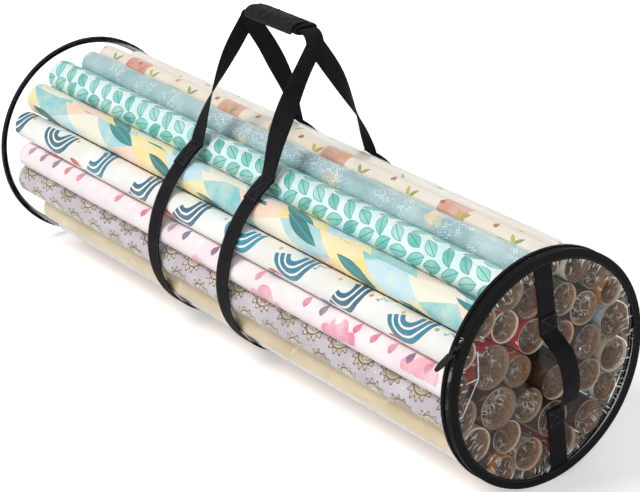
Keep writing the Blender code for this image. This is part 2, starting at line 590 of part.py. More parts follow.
def grip_point(station, turn_deg, offset, half_width=None, half_height=None, power=None):
    """A point round the grip's middle line, this far outside its wrap or outside the given rounded oblong."""
    a = half_width or GRIP_HALF_WIDTH
    b = half_height or GRIP_HALF_HEIGHT
    power = power or GRIP_POWER
    turn = math.radians(turn_deg)
    c, s = math.cos(turn), math.sin(turn)
    place = Vector((0, math.copysign(abs(c) ** (2 / power), c) * a,
                    math.copysign(abs(s) ** (2 / power), s) * b))
    normal = Vector((0, math.copysign(abs(c) ** (2 - 2 / power), c) / a,
                     math.copysign(abs(s) ** (2 - 2 / power), s) / b))
    return Vector((station, AXIS_Y, AXIS_Z + GRIP_HEIGHT)) + place + normal.normalized() * offset


def grip_layer(name, start_deg, end_deg, thickness, inset, finish_name, parent, offset):
    """A strip that follows the wrap's outside between two angles; offset gives its distance from the wrap."""
    count = round((end_deg - start_deg) * GRIP_SIDES / 360)
    turns = [start_deg + (end_deg - start_deg) * k / count for k in range(count + 1)]
    sections = []
    for side in (-1, 1):
        station = GRIP_CENTRE + side * (GRIP_LENGTH / 2 - inset)
        outline = [grip_point(station, turn, offset(turn) + thickness) for turn in turns]
        outline += [grip_point(station, turn, offset(turn)) for turn in reversed(turns)]
        sections.append(outline)
    return loft(name, sections, finish_name, parent)


def build_grip(grip_pivot, flap_pivot):
    """The padded wrap round both handles, its flap, and the hook and loop strips between them."""
    turns = [360 * k / GRIP_SIDES for k in range(GRIP_SIDES)]
    ends = []
    bore = []
    for side in (-1, 1):
        tip = GRIP_CENTRE + side * GRIP_LENGTH / 2
        edge = tip - side * GRIP_EDGE
        pair = [[grip_point(tip, turn, -GRIP_EDGE) for turn in turns],
                [grip_point(edge, turn, 0) for turn in turns]]
        ends += pair if side < 0 else pair[::-1]
        bore.append([grip_point(tip, turn, 0, GRIP_HALF_WIDTH - GRIP_WALL, GRIP_HALF_CAVITY, CAVITY_POWER)
                     for turn in turns])
    loft("grip_wrap", ends, "grip_fabric", grip_pivot, bore)

    loop_offset = SEAT_GAP
    hook_offset = loop_offset + FASTENER_THICKNESS + SEAT_GAP
    flap_offset = hook_offset + FASTENER_THICKNESS + SEAT_GAP

    def flap_rise(turn):
        share = min(max((turn - FLAP_START_DEG) / (FASTENER_START_DEG - FLAP_START_DEG), 0), 1)
        return SEAT_GAP + (flap_offset - SEAT_GAP) * share * share * (3 - 2 * share)

    grip_layer("grip_loop_strip", FASTENER_START_DEG, FASTENER_END_DEG, FASTENER_THICKNESS, FASTENER_INSET,
               "grip_fabric", grip_pivot, lambda turn: loop_offset)
    grip_layer("grip_hook_strip", FASTENER_START_DEG, FASTENER_END_DEG, FASTENER_THICKNESS, FASTENER_INSET,
               "grip_fabric", flap_pivot, lambda turn: hook_offset)
    grip_layer("grip_flap", FLAP_START_DEG, FLAP_END_DEG, FLAP_THICKNESS, FLAP_INSET, "grip_fabric", flap_pivot,
               flap_rise)


def crossings(first, first_radius, second, second_radius):
    """Where two circles round points in the bag's cross-section meet."""
    apart = (second - first).length
    if apart == 0 or apart > first_radius + second_radius or apart < abs(first_radius - second_radius):
        return []
    along = (first_radius ** 2 - second_radius ** 2 + apart ** 2) / (2 * apart)
    off = math.sqrt(max(first_radius ** 2 - along ** 2, 0))
    unit = (second - first) / apart
    side = Vector((-unit.y, unit.x))
    middle = first + unit * along
    return [middle + side * off, middle - side * off]


def settled_rolls():
    """Each roll's centre in the cross-section and its radius, packed from the wall inwards.

    The first roll lies on the wall. Every other one takes the nearest place to its own share that touches
    two things already there, the wall or rolls, and is clear of the rest.
    """
    room = SHEET_INSIDE * math.cos(HALF_SIDE) - SEAT_GAP
    settled = []
    for across, up, diameter_share in ROLL_SHARES:
        radius = diameter_share * room / 2
        wanted = Vector((across, up)) * room
        if not settled:
            settled.append((wanted.normalized() * (room - radius), radius))
            continue
        spots = []
        for k, (centre, size) in enumerate(settled):
            reach = radius + size + SEAT_GAP
            spots += crossings(Vector((0, 0)), room - radius, centre, reach)
            for other, other_size in settled[:k]:
                spots += crossings(centre, reach, other, radius + other_size + SEAT_GAP)
        slack = SEAT_GAP / 100
        free = [spot for spot in spots if spot.length <= room - radius + slack
                and all((spot - centre).length >= radius + size + SEAT_GAP - slack for centre, size in settled)]
        if free:
            settled.append((min(free, key=lambda spot: (spot - wanted).length), radius))
    return settled


def build_rolls():
    """Hollow rolls of wrapping paper that fill the bag."""
    for k, (centre, radius) in enumerate(settled_rolls()):
        near = SPLIT_X - NEAR_ROOM - NEAR_SPREAD * NEAR_SPREAD_SHARES[k % len(NEAR_SPREAD_SHARES)]
        far = FAR_X + FAR_ROOM + FAR_SPREAD * FAR_SPREAD_SHARES[k % len(FAR_SPREAD_SHARES)]
        middle = Vector(((near + far) / 2, AXIS_Y + centre.x, AXIS_Z + centre.y))
        place = Matrix.Translation(middle) @ Matrix.Rotation(math.pi / 2, 4, "Y")
        bm = bmesh.new()
        bmesh.ops.create_cone(bm, cap_ends=False, segments=ROLL_SIDES, radius1=radius, radius2=radius,
                              depth=near - far, matrix=place)
        name = "roll_%02d" % (k + 1)
        roll = add_part(name, new_mesh(name, bm), "paper_%d" % (k % len(ROLL_COLOURS)))
        wall = roll.modifiers.new("wall", "SOLIDIFY")
        wall.thickness = radius * ROLL_WALL_SHARES[k % len(ROLL_WALL_SHARES)]
        wall.offset = -1


clear_scene()
bpy.context.scene.collection.children.link(parts)
bpy.context.scene.collection.children.link(tools)
hinge_angle = math.radians((HINGE_START_DEG + HINGE_END_DEG) / 2)
flap_root = grip_point(GRIP_CENTRE, FLAP_START_DEG, SEAT_GAP + FLAP_THICKNESS / 2)
cap_hinge_axis = pivot("cap_hinge_axis", on_bag(SPLIT_X + CHAIN_BACK, RIM_RADIUS, hinge_angle))
slider_axis = pivot("slider_axis", Vector((SPLIT_X, AXIS_Y, AXIS_Z)))
pull_axis = pivot("pull_axis", on_bag(SPLIT_X, PULL_HINGE_RADIUS, math.radians(SLIDER_REST_DEG)))
grip_axis = pivot("grip_axis", Vector((GRIP_CENTRE, AXIS_Y, AXIS_Z + GRIP_HEIGHT)))
flap_axis = pivot("flap_axis", flap_root)
hang(pull_axis, slider_axis)
hang(flap_axis, grip_axis)
build_shell()
build_cap(cap_hinge_axis)
build_slider(slider_axis, pull_axis)
build_stops()
build_belts()
build_handles()
build_grip(grip_axis, flap_axis)
build_rolls()
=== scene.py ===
import math

import bmesh
import bpy
import numpy as np
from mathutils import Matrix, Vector, noise


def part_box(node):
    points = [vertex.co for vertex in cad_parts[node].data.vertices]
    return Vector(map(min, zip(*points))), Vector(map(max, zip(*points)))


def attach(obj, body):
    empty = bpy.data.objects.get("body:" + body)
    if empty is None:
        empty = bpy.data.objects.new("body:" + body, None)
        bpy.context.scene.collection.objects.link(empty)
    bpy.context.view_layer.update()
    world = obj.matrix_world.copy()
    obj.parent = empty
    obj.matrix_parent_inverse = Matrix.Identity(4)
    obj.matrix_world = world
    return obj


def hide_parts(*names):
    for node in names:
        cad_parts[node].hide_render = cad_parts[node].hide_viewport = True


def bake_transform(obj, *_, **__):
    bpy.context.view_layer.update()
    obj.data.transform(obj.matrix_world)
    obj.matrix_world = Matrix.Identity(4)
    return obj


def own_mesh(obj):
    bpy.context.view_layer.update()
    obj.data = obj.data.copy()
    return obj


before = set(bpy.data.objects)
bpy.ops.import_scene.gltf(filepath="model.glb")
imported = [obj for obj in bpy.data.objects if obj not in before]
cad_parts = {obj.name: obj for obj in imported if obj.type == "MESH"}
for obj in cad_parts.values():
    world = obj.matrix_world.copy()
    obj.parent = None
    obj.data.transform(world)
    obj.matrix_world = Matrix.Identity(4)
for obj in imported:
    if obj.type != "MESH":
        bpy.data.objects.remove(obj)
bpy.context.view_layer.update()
mm = 0.001
fullTurn = 2 * math.pi

# The bag's axis runs along X. Everything round it is placed by an angle from +Y towards +Z.
sheetLow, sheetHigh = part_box("body_sheet")
axisY = (sheetLow.y + sheetHigh.y) / 2
axisZ = (sheetLow.z + sheetHigh.z) / 2
bag = {
    "rim": 148 * mm,  # outside of the bindings
    "tapeOutside": 146.2 * mm,
    "tapeInside": 145.4 * mm,
    "sheetInside": 144.3 * mm,
    "sheetThickness": 0.5 * mm,
    "farX": -524 * mm,
    "faceX": 492 * mm,
    "splitX": 483 * mm,  # middle of the zipper
    "middleX": -16 * mm,
    "webbingWidth": 26 * mm,
    "webbingThickness": 1.6 * mm,
}


def linear(hexText):  # sRGB hex to linear colour
    parts = [int(hexText[k:k + 2], 16) / 255 for k in (0, 2, 4)]
    return [p / 12.92 if p <= 0.04045 else ((p + 0.055) / 1.055) ** 2.4 for p in parts] + [1.0]


def addNode(tree, kind, values=(), **settings):  # adds a node with its settings and links, gives its first output
    node = tree.nodes.new(kind)
    for key, value in settings.items():
        setattr(node, key, value)
    for key, value in (values.items() if isinstance(values, dict) else enumerate(values)):
        value = getattr(value, "socket", value)
        if isinstance(value, bpy.types.NodeSocket):
            tree.links.new(value, node.inputs[key])
        else:
            node.inputs[key].default_value = value
    return node.outputs[0] if node.outputs else node


class Value:  # a shader's socket that takes plain arithmetic, each step a Math node
    def __init__(self, socket):
        self.socket = socket

    def math(self, operation, *values, **settings):
        return Value(addNode(self.socket.id_data, "ShaderNodeMath", [self, *values], operation=operation, **settings))

    def __add__(self, other):
        return self.math("ADD", other)

    def __sub__(self, other):
        return self.math("SUBTRACT", other)

    def __rsub__(self, other):
        return Value(addNode(self.socket.id_data, "ShaderNodeMath", [other, self], operation="SUBTRACT"))

    def __mul__(self, other):
        return self.math("MULTIPLY", other)

    def __abs__(self):
        return self.math("ABSOLUTE")


class Look:  # a Principled material, whose plain values sit on its own sockets, and short ways to add its nodes
    def __init__(self, name, **constants):
        self.material = bpy.data.materials.new(name)
        self.material.use_nodes = True
        self.tree = self.material.node_tree
        self.shader = self.tree.nodes["Principled BSDF"]
        for key, value in constants.items():
            self.shader.inputs[key.replace("_", " ")].default_value = value

    def node(self, kind, values=(), out=0, **settings):
        return Value(addNode(self.tree, "ShaderNode" + kind, values, **settings).node.outputs[out])

    def uv(self):
        return self.node("UVMap", uv_map="weave")

    def place(self):
        return self.node("TexCoord", out="Object")

    def parts(self, vector):
        return [Value(part) for part in self.node("SeparateXYZ", [vector]).socket.node.outputs]

    def vector(self, operation, *values, out=0):
        return self.node("VectorMath", values, out, operation=operation)

    def scaled(self, vector, scale):
        return self.node("VectorMath", {0: vector, 3: scale}, operation="SCALE")

    def turned(self, vector, angle):
        return self.node("VectorRotate", {"Vector": vector, "Angle": angle}, rotation_type="Z_AXIS")

    def stretched(self, vector, scale):
        return self.node("Mapping", {"Vector": vector, "Scale": scale})

    def noise(self, vector, scale, detail=2.0, out=0):
        return self.node("TexNoise", {"Vector": vector, "Scale": scale, "Detail": detail}, out)

    def remap(self, value, low, high, lowest=0.0, highest=1.0):
        return self.node("MapRange", [value, low, high, lowest, highest])

    def waves(self, run, pitch):
        return (run * (fullTurn / pitch)).math("SINE")

    def mix(self, share, first, second):
        return self.node("Mix", {0: share, 6: first, 7: second}, 2, data_type="RGBA")

    def ramp(self, factor, *stops, interpolation="LINEAR"):  # from (place, hex) stops
        out = self.node("ValToRGB", [factor])
        band = out.socket.node.color_ramp
        band.interpolation = interpolation
        while len(band.elements) < len(stops):
            band.elements.new(1.0)
        for element, (place, hexText) in zip(band.elements, stops):
            element.position = place
            element.color = linear(hexText)
        return out

    def link(self, value, name):
        self.tree.links.new(value.socket, self.shader.inputs[name])

    def bump(self, height, strength, distance):
        bump = self.node("Bump", {"Strength": strength, "Distance": distance, "Height": height})
        self.link(bump, "Normal")
        return bump

    def finish(self, colour, height=None, strength=0.5, distance=mm):
        self.link(colour, "Base Color")
        if height:
            self.bump(height, strength, distance)
        return self.material

    def film(self, share, tint, white=None, glintColour="FFFFFF"):
        # Clear but for a share of the shader, with a painted highlight: flat white mixed in by the glint mask, standing
        # in for glints of light.
        surface = self.node("MixShader", [share, self.node("BsdfTransparent", {"Color": tint}), self.shader.outputs[0]])
        if white:
            surface = self.node("MixShader", [white, surface, self.node("BsdfDiffuse", {"Color": linear(glintColour)})])
        self.tree.links.new(surface.socket, self.tree.nodes["Material Output"].inputs["Surface"])
        return self.material


def smoothStep(t):
    t = min(max(t, 0.0), 1.0)
    return t * t * (3 - 2 * t)


def spread(start, end, steps):  # evenly spaced values with both ends
    return [start + (end - start) * k / steps for k in range(steps + 1)]


def drift(*at):
    return noise.noise(Vector(at))


def onBag(x, radius, angle):
    return Vector((x, axisY + radius * math.cos(angle), axisZ + radius * math.sin(angle)))


print("materials")

# Woven webbing: polypropylene yarn in a herringbone, dull black with a faint sheen on each rib. The real rib is
# 0.9 mm, drawn at 1.6 mm so that it shows.
webbingLook = {"rib": 1.6 * mm, "column": 3.7 * mm, "dark": "111012", "light": "2E2C30", "bump": 0.35 * mm}


def wovenWebbing():
    look = Look("wovenPolypropyleneWebbing", Roughness=0.8, Sheen_Weight=0.01, Sheen_Roughness=0.5,
                Specular_IOR_Level=0.07)
    uv = look.uv()
    run, across, _ = look.parts(uv)
    slant = run + across.math("PINGPONG", webbingLook["column"])
    height = look.remap(look.waves(slant, webbingLook["rib"]), -1.0, 1.0)
    shade = look.ramp(height * look.noise(uv, 55.0, 4.0), (0.12, webbingLook["dark"]), (0.75, webbingLook["light"]))
    return look.finish(shade, height, 0.7, webbingLook["bump"])


# Bias binding and zipper tape: close-woven polyester with ribs across, flatter and a little shinier than webbing.
tapeLook = {"bindingRib": 1.1 * mm, "zipperRib": 0.8 * mm, "dark": "040405", "light": "121214", "bump": 0.16 * mm}


def wovenTape(name, rib):
    look = Look(name, Roughness=0.65, Sheen_Weight=0.01, Sheen_Roughness=0.45, Specular_IOR_Level=0.09)
    uv = look.uv()
    height = look.remap(look.waves(look.parts(uv)[0], rib), -1.0, 1.0) * look.noise(uv, 140.0, 3.0)
    shade = look.ramp(height, (0.1, tapeLook["dark"]), (0.8, tapeLook["light"]))
    return look.finish(shade, height, 0.5, tapeLook["bump"])


# Grip fabric: plain-woven coated nylon, soft, with the two sets of yarn crossing. Real yarn 0.4 mm, drawn at 1.2 mm.
def plainWeave(yarn=1.2 * mm):
    look = Look("plainWovenNylon", Roughness=0.78, Sheen_Weight=0.02, Sheen_Roughness=0.6, Specular_IOR_Level=0.1)
    place = look.place()
    x, y, z = look.parts(place)
    cross = look.waves(x, yarn) * look.waves(y + z, yarn)
    height = look.remap(cross, -1.0, 1.0) * look.noise(place, 90.0, 4.0)
    return look.finish(look.ramp(height, (0.1, "101012"), (0.75, "2D2C30")), height, 0.5, 0.2 * mm)


# Hook and loop tape: a mat of nylon hairs, seen only as a rough fuzz.
def hookAndLoop():
    look = Look("hookAndLoopNylon", Roughness=0.9, Sheen_Weight=0.06, Sheen_Roughness=0.7, Specular_IOR_Level=0.15)
    hairs = look.node("TexVoronoi", {"Vector": look.place(), "Scale": 900.0})
    return look.finish(look.ramp(hairs, (0.1, "2B2B2F"), (0.6, "0B0B0C")), hairs, 0.8, 0.5 * mm)


def mottled(name, scale, dark, light, **constants):  # two shades in soft clouds
    look = Look(name, **constants)
    return look.finish(look.ramp(look.noise(look.place(), scale), (0.3, dark), (0.7, light)))


# Slider, pull and stops: die-cast zinc under black enamel, worn a little to the metal where it is handled.
def enamelledZinc():
    look = Look("blackEnamelledZinc", Roughness=0.3, Metallic=0.2, Coat_Weight=0.08, Coat_Roughness=0.15,
                Specular_IOR_Level=0.2)
    wear = look.noise(look.place(), 260.0, 5.0)
    look.link(look.remap(wear, 0.3, 0.7, 0.22, 0.42), "Roughness")
    return look.finish(look.ramp(wear, (0.55, "0C0C0E"), (0.75, "26262A")))


# Clear vinyl: soft PVC film, calendered. Seen straight on it is clear and mirrors a few parts in a hundred; at a
# grazing angle it mirrors most of the light. Faint ripples run along it. The cap's panel is gathered into its
# binding; white dashes round its folds at the seam and white lines along a few creases are painted highlights,
# flat white standing in for the glints of light on them.
vinylLook = {"facing": 0.014, "grazing": 0.26, "falloff": 6.0, "haze": "F4F6F7", "ripple": 0.5 * mm,
             "tint": "FDFEFE", "foldPitch": 3.4 * mm, "foldInside": 113 * mm, "foldOutside": 133 * mm,
             "glintShare": 0.75}


def paintedFoldGlints(look, creases):  # painted highlights: how much flat white goes into the film, as dashes on its folds at the seam and lines along a few creases across it
    uv = look.uv()
    y, z, _ = look.parts(uv)
    far = look.vector("LENGTH", uv, out="Value")
    turns = z.math("ARCTAN2", y) * (vinylLook["foldOutside"] / vinylLook["foldPitch"])
    spokes = look.noise(look.node("CombineXYZ", [turns, far * 55.0, 0.0]), 1.0, 1.0)
    # painted highlight: white dashes round the seam, in a band just inside the binding
    white = look.remap(spokes, 0.61, 0.67) * look.remap(far, vinylLook["foldInside"], vinylLook["foldOutside"])
    # painted highlight: a white line along each crease
    for start, end, width in creases:
        way = (end[0] - start[0], end[1] - start[1], 0.0)
        off = look.vector("SUBTRACT", uv, (*start, 0.0))
        share = look.vector("DOT_PRODUCT", off, way, out="Value").math(
            "MULTIPLY", 1 / (way[0] ** 2 + way[1] ** 2), use_clamp=True)
        apart = look.vector("DISTANCE", off, look.scaled(way, share), out="Value")
        white = white.math("MAXIMUM", look.remap(apart, 0.4 * width, width, 1.0, 0.0))
    return white * vinylLook["glintShare"]


def clearVinyl(name, rippleScale, depth=1.0, creases=()):
    look = Look(name, Roughness=0.12, Metallic=0.85, IOR=1.53)
    ripples = look.noise(look.stretched(look.place(), rippleScale), 9.0, 3.0)
    look.finish(look.ramp(ripples, (0.3, vinylLook["haze"]), (0.7, "FFFFFF")), ripples, 0.35,
                depth * vinylLook["ripple"])
    edge = look.node("LayerWeight", {"Blend": 0.5}, "Facing").math("POWER", vinylLook["falloff"])
    share = look.remap(edge, 0.0, 1.0, vinylLook["facing"], vinylLook["grazing"])
    return look.film(share, linear(vinylLook["tint"]), paintedFoldGlints(look, creases) if creases else None, "FAFAF8")


# Cellophane: the clear film that a roll is sold in, crumpled where its end is tucked in, with painted highlights:
# flat white lines along a crinkle pattern, standing in for glints. Between the outer rolls a brown copy is painted
# shade, darkening what shows through it.
def crumpledFilm(name, tints):
    look = Look(name, Roughness=0.1, Metallic=0.9, IOR=1.49)
    place = look.place()
    warped = look.vector("MULTIPLY_ADD", look.noise(place, 70.0, out="Color"), (0.012, 0.012, 0.012), place)
    ridge = look.node("TexVoronoi", {"Vector": warped, "Scale": 105.0}, feature="DISTANCE_TO_EDGE")
    # painted highlight: flat white lines in patches, standing in for glints on the crinkles
    line = look.remap(ridge, 0.0, 0.09, 1.0, 0.0)
    patch = look.remap(look.noise(place, 42.0), 0.47, 0.6, 0.0, 0.62)
    facets = look.node("TexVoronoi", {"Vector": warped, "Scale": 190.0}, feature="SMOOTH_F1")
    folds = look.noise(place, 120.0, 3.0)
    bump = look.bump(facets + folds, 0.9, 2.6 * mm)
    facing = look.node("LayerWeight", {"Blend": 0.5, "Normal": bump}, "Facing")
    share = look.remap(facing, 0.2, 0.9, 0.01, 0.42)
    return look.film(share, look.ramp(folds, (0.4, tints[0]), (0.6, tints[1])), line * patch, "FAF4EC")


# Kraft board: the roll's core, wound from strips, with a seam that spirals along it.
def kraftBoard():
    look = Look("spiralWoundKraftBoard", Roughness=0.85)
    uv = look.uv()
    run, across, _ = look.parts(uv)
    fibre = look.noise(uv, 160.0, 6.0)
    seam = (run + across).math("PINGPONG", 60 * mm).math("GREATER_THAN", 0.6 * mm)
    shade = look.mix(seam, linear("6A4B33"), look.ramp(fibre, (0.3, "7C5A3D"), (0.7, "AD845E")))
    return look.finish(shade, fibre, 0.3, 0.2 * mm)


# Cut ends of the paper: hundreds of white layers, drawn as a few rings with the print's colour between them.
def paperEdge(hexText):
    look = Look("cutPaperEdge" + hexText, Roughness=0.75)
    layers = look.noise(look.stretched(look.uv(), (1600, 14, 1)), 1.0, 3.0)
    shade = look.ramp(layers, (0.3, hexText), (0.55, hexText), (0.72, "E9DFD0"))
    return look.finish(shade, layers, 0.4, 0.3 * mm)


# Printed papers: two shades of ground under layers of ink, each a field of motifs. The cell, the shift and the
# motif's size are in millimetres; turn is the field's angle, lean the motif's own, and spin how far single motifs may
# turn, in degrees. wash lets the ground show through the ink in clouds, and cluster keeps the motifs to patches. rim
# and vein are lines in another colour, with their width.
def ink(motif, cell, size, colours, **more):
    plain = {"stagger": 0.5, "shift": (0, 0), "turn": 0, "lean": 0, "spin": 0}
    return {"motif": motif, "cell": cell, "size": size, "colours": colours.split(), **plain, **more}


leafLines = {"rim": (1.1, "2B8A83"), "vein": (0.5, "2B8A83")}
prints = {
    "leafPaper": ("EEF9F8", "D6F0ED", [
        ink("leaf", (31, 42), (17.5, 8.6), "58C6B7 6FD0C3 45B5A8", lean=27, spin=22, wash=0.35, **leafLines),
        ink("leaf", (31, 42), (16.5, 8.2), "62CABB 48B8AB 7DD5CA", shift=(13, 21), lean=-38, spin=24, wash=0.35,
            **leafLines)]),
    "diamondPaper": ("FBF1DC", "F8E4CB", [
        ink("tile", (78, 40), (40, 20), "7CC8CC FCD3BC FBDF86 BFE4F1 F9F1DD 9AD3DD FBE7A6", stagger=0, turn=-9,
            wash=0.45),
        ink("leaf", (118, 61), (40, 9.5), "147475 1E8486 0F6A70", turn=-9, lean=-6, spin=3, rim=(1.2, "0C5A5E"),
            vein=(0.6, "4FA8A2"))]),
    "frostPaper": ("8DB0B5", "C2D6D8", [
        ink("flower", (196, 74), (19, 14), "F0DDB4 EAD6B2", turn=3, spin=40, petals=5, wash=0.6),
        ink("dot", (3.8, 3.4), (1.25, 1.25), "FFFFFF 9DBEC7 F6FBFC B9D2D8", turn=17, cluster=(24, 0.5)),
        ink("dot", (9, 7), (0.8, 0.8), "7FA3AD DCE9EC 8FB2BB", stagger=0.4, turn=-8)]),
    "fanPaper": ("FCF9F4", "F2EDE6", [
        ink("wave", (122, 62), (12, 1.1), "17171B", stagger=0.35, shift=(38, 9), lean=60, spin=60),
        ink("ring", (122, 62), (6.5, 0.6), "17171B", stagger=0.35, shift=(30, 20), cluster=(9, 0.5)),
        ink("dot", (60, 37), (3.2, 3.2), "D9A43A E9C06A FCF9F4 E2B04C", stagger=0.4, shift=(9, 4)),
        ink("drop", (236, 104), (26, 9.5), "D8352F DE4438", shift=(60, 30), lean=-12, spin=12, rim=(0.7, "A9241F")),
        ink("arcs", (112, 68), (38, 19), "0C7896 085B76 1A90AA", lean=30, spin=34, rim=(0.6, "073A50"))]),
    "dropPaper": ("FBF0F1", "F6E1E5", [
        ink("cloud", (150, 84), (42, 19), "EF7F9C F29AB0 EE8FA0", turn=4, spin=8, wash=0.5),
        ink("drop", (33, 42), (11.5, 8), "E0607C FBF0F1 85567A FBF0F1 27356B D9788E A86F8F", shift=(7, 11), lean=90,
            spin=8, wash=0.3)]),
    "rosettePaper": ("BDAFB6", "CFC5CB", [
        ink("flower", (52, 46), (25, 22), "C4B29A B5A38C D2C4AE", spin=180, petals=12, rim=(2.3, "4A3A2C")),
        ink("ring", (52, 45), (15.5, 1.2), "4A3A2C 5E4C3B"),
        ink("flower", (52, 45), (11, 10), "EFE3CF B89A7C F3EADB", spin=180, petals=8, rim=(1.1, "4E3E30")),
        ink("ring", (52, 45), (5.2, 0.8), "4E3E30"),
        ink("dot", (13, 11), (1.2, 1.2), "8A7A70 EDE3EA", cluster=(60, 0.5))]),
    "kraftPaper": ("EAD3A9", "DABF94", [ink("leaf", (44, 30), (10, 2.2), "F4E0BC D6B985", turn=20, spin=90, wash=0.6)]),
    "gardenPaper": ("F5E3CE", "F8ECDD", [
        ink("band", (232, 150), (25, 60), "DB7455 D98264", stagger=0.4, shift=(20, 20), wash=0.4),
        ink("band", (232, 150), (18, 16), "BCD2A8 CFDDB9", stagger=0.4, shift=(150, 60), wash=0.4),
        ink("leaf", (96, 40), (9, 3.0), "BFA52F 9FA04A 7F9A4E", shift=(0, 3), lean=48, spin=8),
        ink("leaf", (96, 40), (9, 3.0), "CDB548 8FA35A B9A63F", shift=(10, 3), lean=-48, spin=8),
        ink("heart", (96, 40), (4.2, 4.2), "C8553F D9A03F B9493A", shift=(46, 12), spin=25)]),
    # umber is dark paper for the inner rolls, partly painted shade: it darkens the gaps between the rolls, where shade
    # falls
    "umberPaper": ("5E4030", "4A3024", [ink("leaf", (30, 24), (9, 2.4), "86664C 74543E", turn=24, spin=80, wash=0.5)]),
    "creamPaper": ("F7EEE2", "F2E4D0", [ink("leaf", (62, 37), (8, 2.6), "B9B765 D6A24A 9DB077", turn=9, spin=70)]),
    "cherryPaper": ("D2342F", "C02A28", [ink("dot", (26, 20), (2.6, 2.6), "FBF3EA")]),
    "mossPaper": ("5F8A4B", "4F7A40", [
        ink("leaf", (21, 15), (8, 2.2), "8FAE72 C9CFA4 2F5E3A", turn=30, spin=60, wash=0.5)]),
    "amberPaper": ("E08A33", "D07A28", [ink("ring", (34, 28), (9.5, 1.6), "FBEBCB F6D591")]),
    "plainWhitePaper": ("F4F2EE", "EAE7E1", [ink("dot", (22, 18), (2.4, 2.4), "C9CDD2 F0A3B4 8CCFCB", turn=12)]),
}


def reach(x, y):
    return (x * x + y * y).math("SQRT")


def motifHeight(layer, x, y):  # above zero inside the motif, in millimetres, with x and y from its middle
    motif, (a, b) = layer["motif"], layer["size"]
    if motif in ("leaf", "drop"):
        along = x.math("DIVIDE", a)
        bulge = 1.0 - along * along
        if motif == "drop":
            bulge = bulge * (along * -0.6 + 0.62).math("MAXIMUM", 0.02)
        return bulge * b - abs(y)
    if motif == "tile":  # fills its cell
        return x * 0.0 + 1.0
    if motif == "band":
        return (a - abs(x)).math("MINIMUM", b - abs(y))
    if motif == "heart":
        return a - reach(x, y - abs(x).math("SQRT") * (0.62 * math.sqrt(a)))
    if motif == "wave":
        swing = (x * (fullTurn / a)).math("SINE") * (a * 0.22)
        return (b - abs(y - swing)).math("MINIMUM", a - abs(x))
    if motif == "cloud":  # three lobes over a straight foot
        puff = None
        for off, lift, size in ((-0.5, 0.1, 0.62), (0.05, -0.25, 0.9), (0.58, 0.15, 0.55)):
            lobe = size * b - reach(x - off * a, y - lift * b)
            puff = puff.math("MAXIMUM", lobe) if puff else lobe
        return puff.math("MINIMUM", b / 2 - y)
    if motif == "flower":
        y = y * (a / b)
        petals = (y.math("ARCTAN2", x) * layer["petals"]).math("COSINE")
        return (petals * 0.12 + 0.86) * a - reach(x, y)
    if motif == "arcs":
        y = y + a * 0.45
        far = reach(x, y)
        stripes = b / 4 - abs(far.math("PINGPONG", b / 2) - b / 4)
        disc = (a - far).math("MINIMUM", far - a * 0.28).math("MINIMUM", y)
        return (stripes - b / 14).math("MINIMUM", disc)
    if motif == "ring":
        return b - abs(reach(x, y) - (a - b))
    return a - reach(x, y)


def printedPaper(name):  # coated gift wrap: an offset print under a thin gloss, with soft dents along the roll
    ground, cloudy, layers = prints[name]
    look = Look("offsetPrinted" + name[0].upper() + name[1:], Roughness=0.38, Coat_Weight=0.25, Coat_Roughness=0.2)
    uv = look.uv()
    cloud, wet = look.noise(uv, 14.0, 5.0), look.noise(uv, 38.0, 4.0)
    colour = look.ramp(cloud, (0.38, ground), (0.64, cloudy))
    uneven = look.vector("SUBTRACT", look.noise(uv, 45.0, out="Color"), (0.5, 0.5, 0.5))
    place = look.vector("ADD", look.scaled(uv, 1000.0), look.scaled(uneven, 3.0))
    for number, layer in enumerate(layers):
        wide, high = layer["cell"]
        moved = look.turned(look.vector("ADD", place, (*layer["shift"], 0.0)), math.radians(layer["turn"]))
        column, row, _ = look.parts(look.vector("DIVIDE", moved, (wide, high, 1.0)))
        shifted = row.math("FLOOR").math("MULTIPLY_ADD", layer["stagger"], column)
        grid = look.node("CombineXYZ", [shifted, row, number + 0.5])
        if layer["motif"] == "tile":  # diamonds that meet edge to edge
            grid = look.turned(grid, math.pi / 4)
        cell = look.vector("FLOOR", grid)
        centred = look.vector("SUBTRACT", look.vector("FRACTION", grid), (0.5, 0.5, 0.5))
        local = look.vector("MULTIPLY", centred, (wide, high, 0.0))
        chance = look.node("TexWhiteNoise", {"Vector": cell}, noise_dimensions="3D")
        spin, lean = math.radians(layer["spin"]), math.radians(layer["lean"])
        if spin or lean:
            local = look.turned(local, look.remap(chance, 0.0, 1.0, lean - spin, lean + spin))
        x, y, _ = look.parts(local)
        height = motifHeight(layer, x, y)
        shades = layer["colours"]
        pick = look.node("SeparateColor", [chance.socket.node.outputs["Color"]], 1)
        if layer["motif"] == "tile":  # neighbours always differ
            column, row, _ = look.parts(cell)
            order = row.math("MULTIPLY_ADD", 3.0, column)
            pick = order.math("MULTIPLY_ADD", 1 / len(shades), 0.01).math("FRACT")
        stops = [(k / len(shades), shade) for k, shade in enumerate(shades)]
        mark = look.ramp(pick, *stops, (1.0, shades[-1]), interpolation="CONSTANT")
        if "wash" in layer:
            mark = look.mix(look.remap(wet, 0.35, 0.65, 0.0, layer["wash"]), mark, linear(ground))
        for line, off in (("vein", abs(y)), ("rim", height)):
            if line in layer:
                width, hexText = layer[line]
                mark = look.mix(off.math("LESS_THAN", width), mark, linear(hexText))
        on = look.remap(height, 0.0, 0.35)
        if "cluster" in layer:
            scale, least = layer["cluster"]
            on = on * look.remap(look.noise(uv, scale), least, least + 0.06)
        colour = look.mix(on, colour, mark)
    look.link(look.remap(cloud, 0.3, 0.7, 0.3, 0.46), "Roughness")
    return look.finish(colour, look.noise(look.stretched(uv, (7, 60, 1)), 1.0), 0.35, 1.2 * mm)


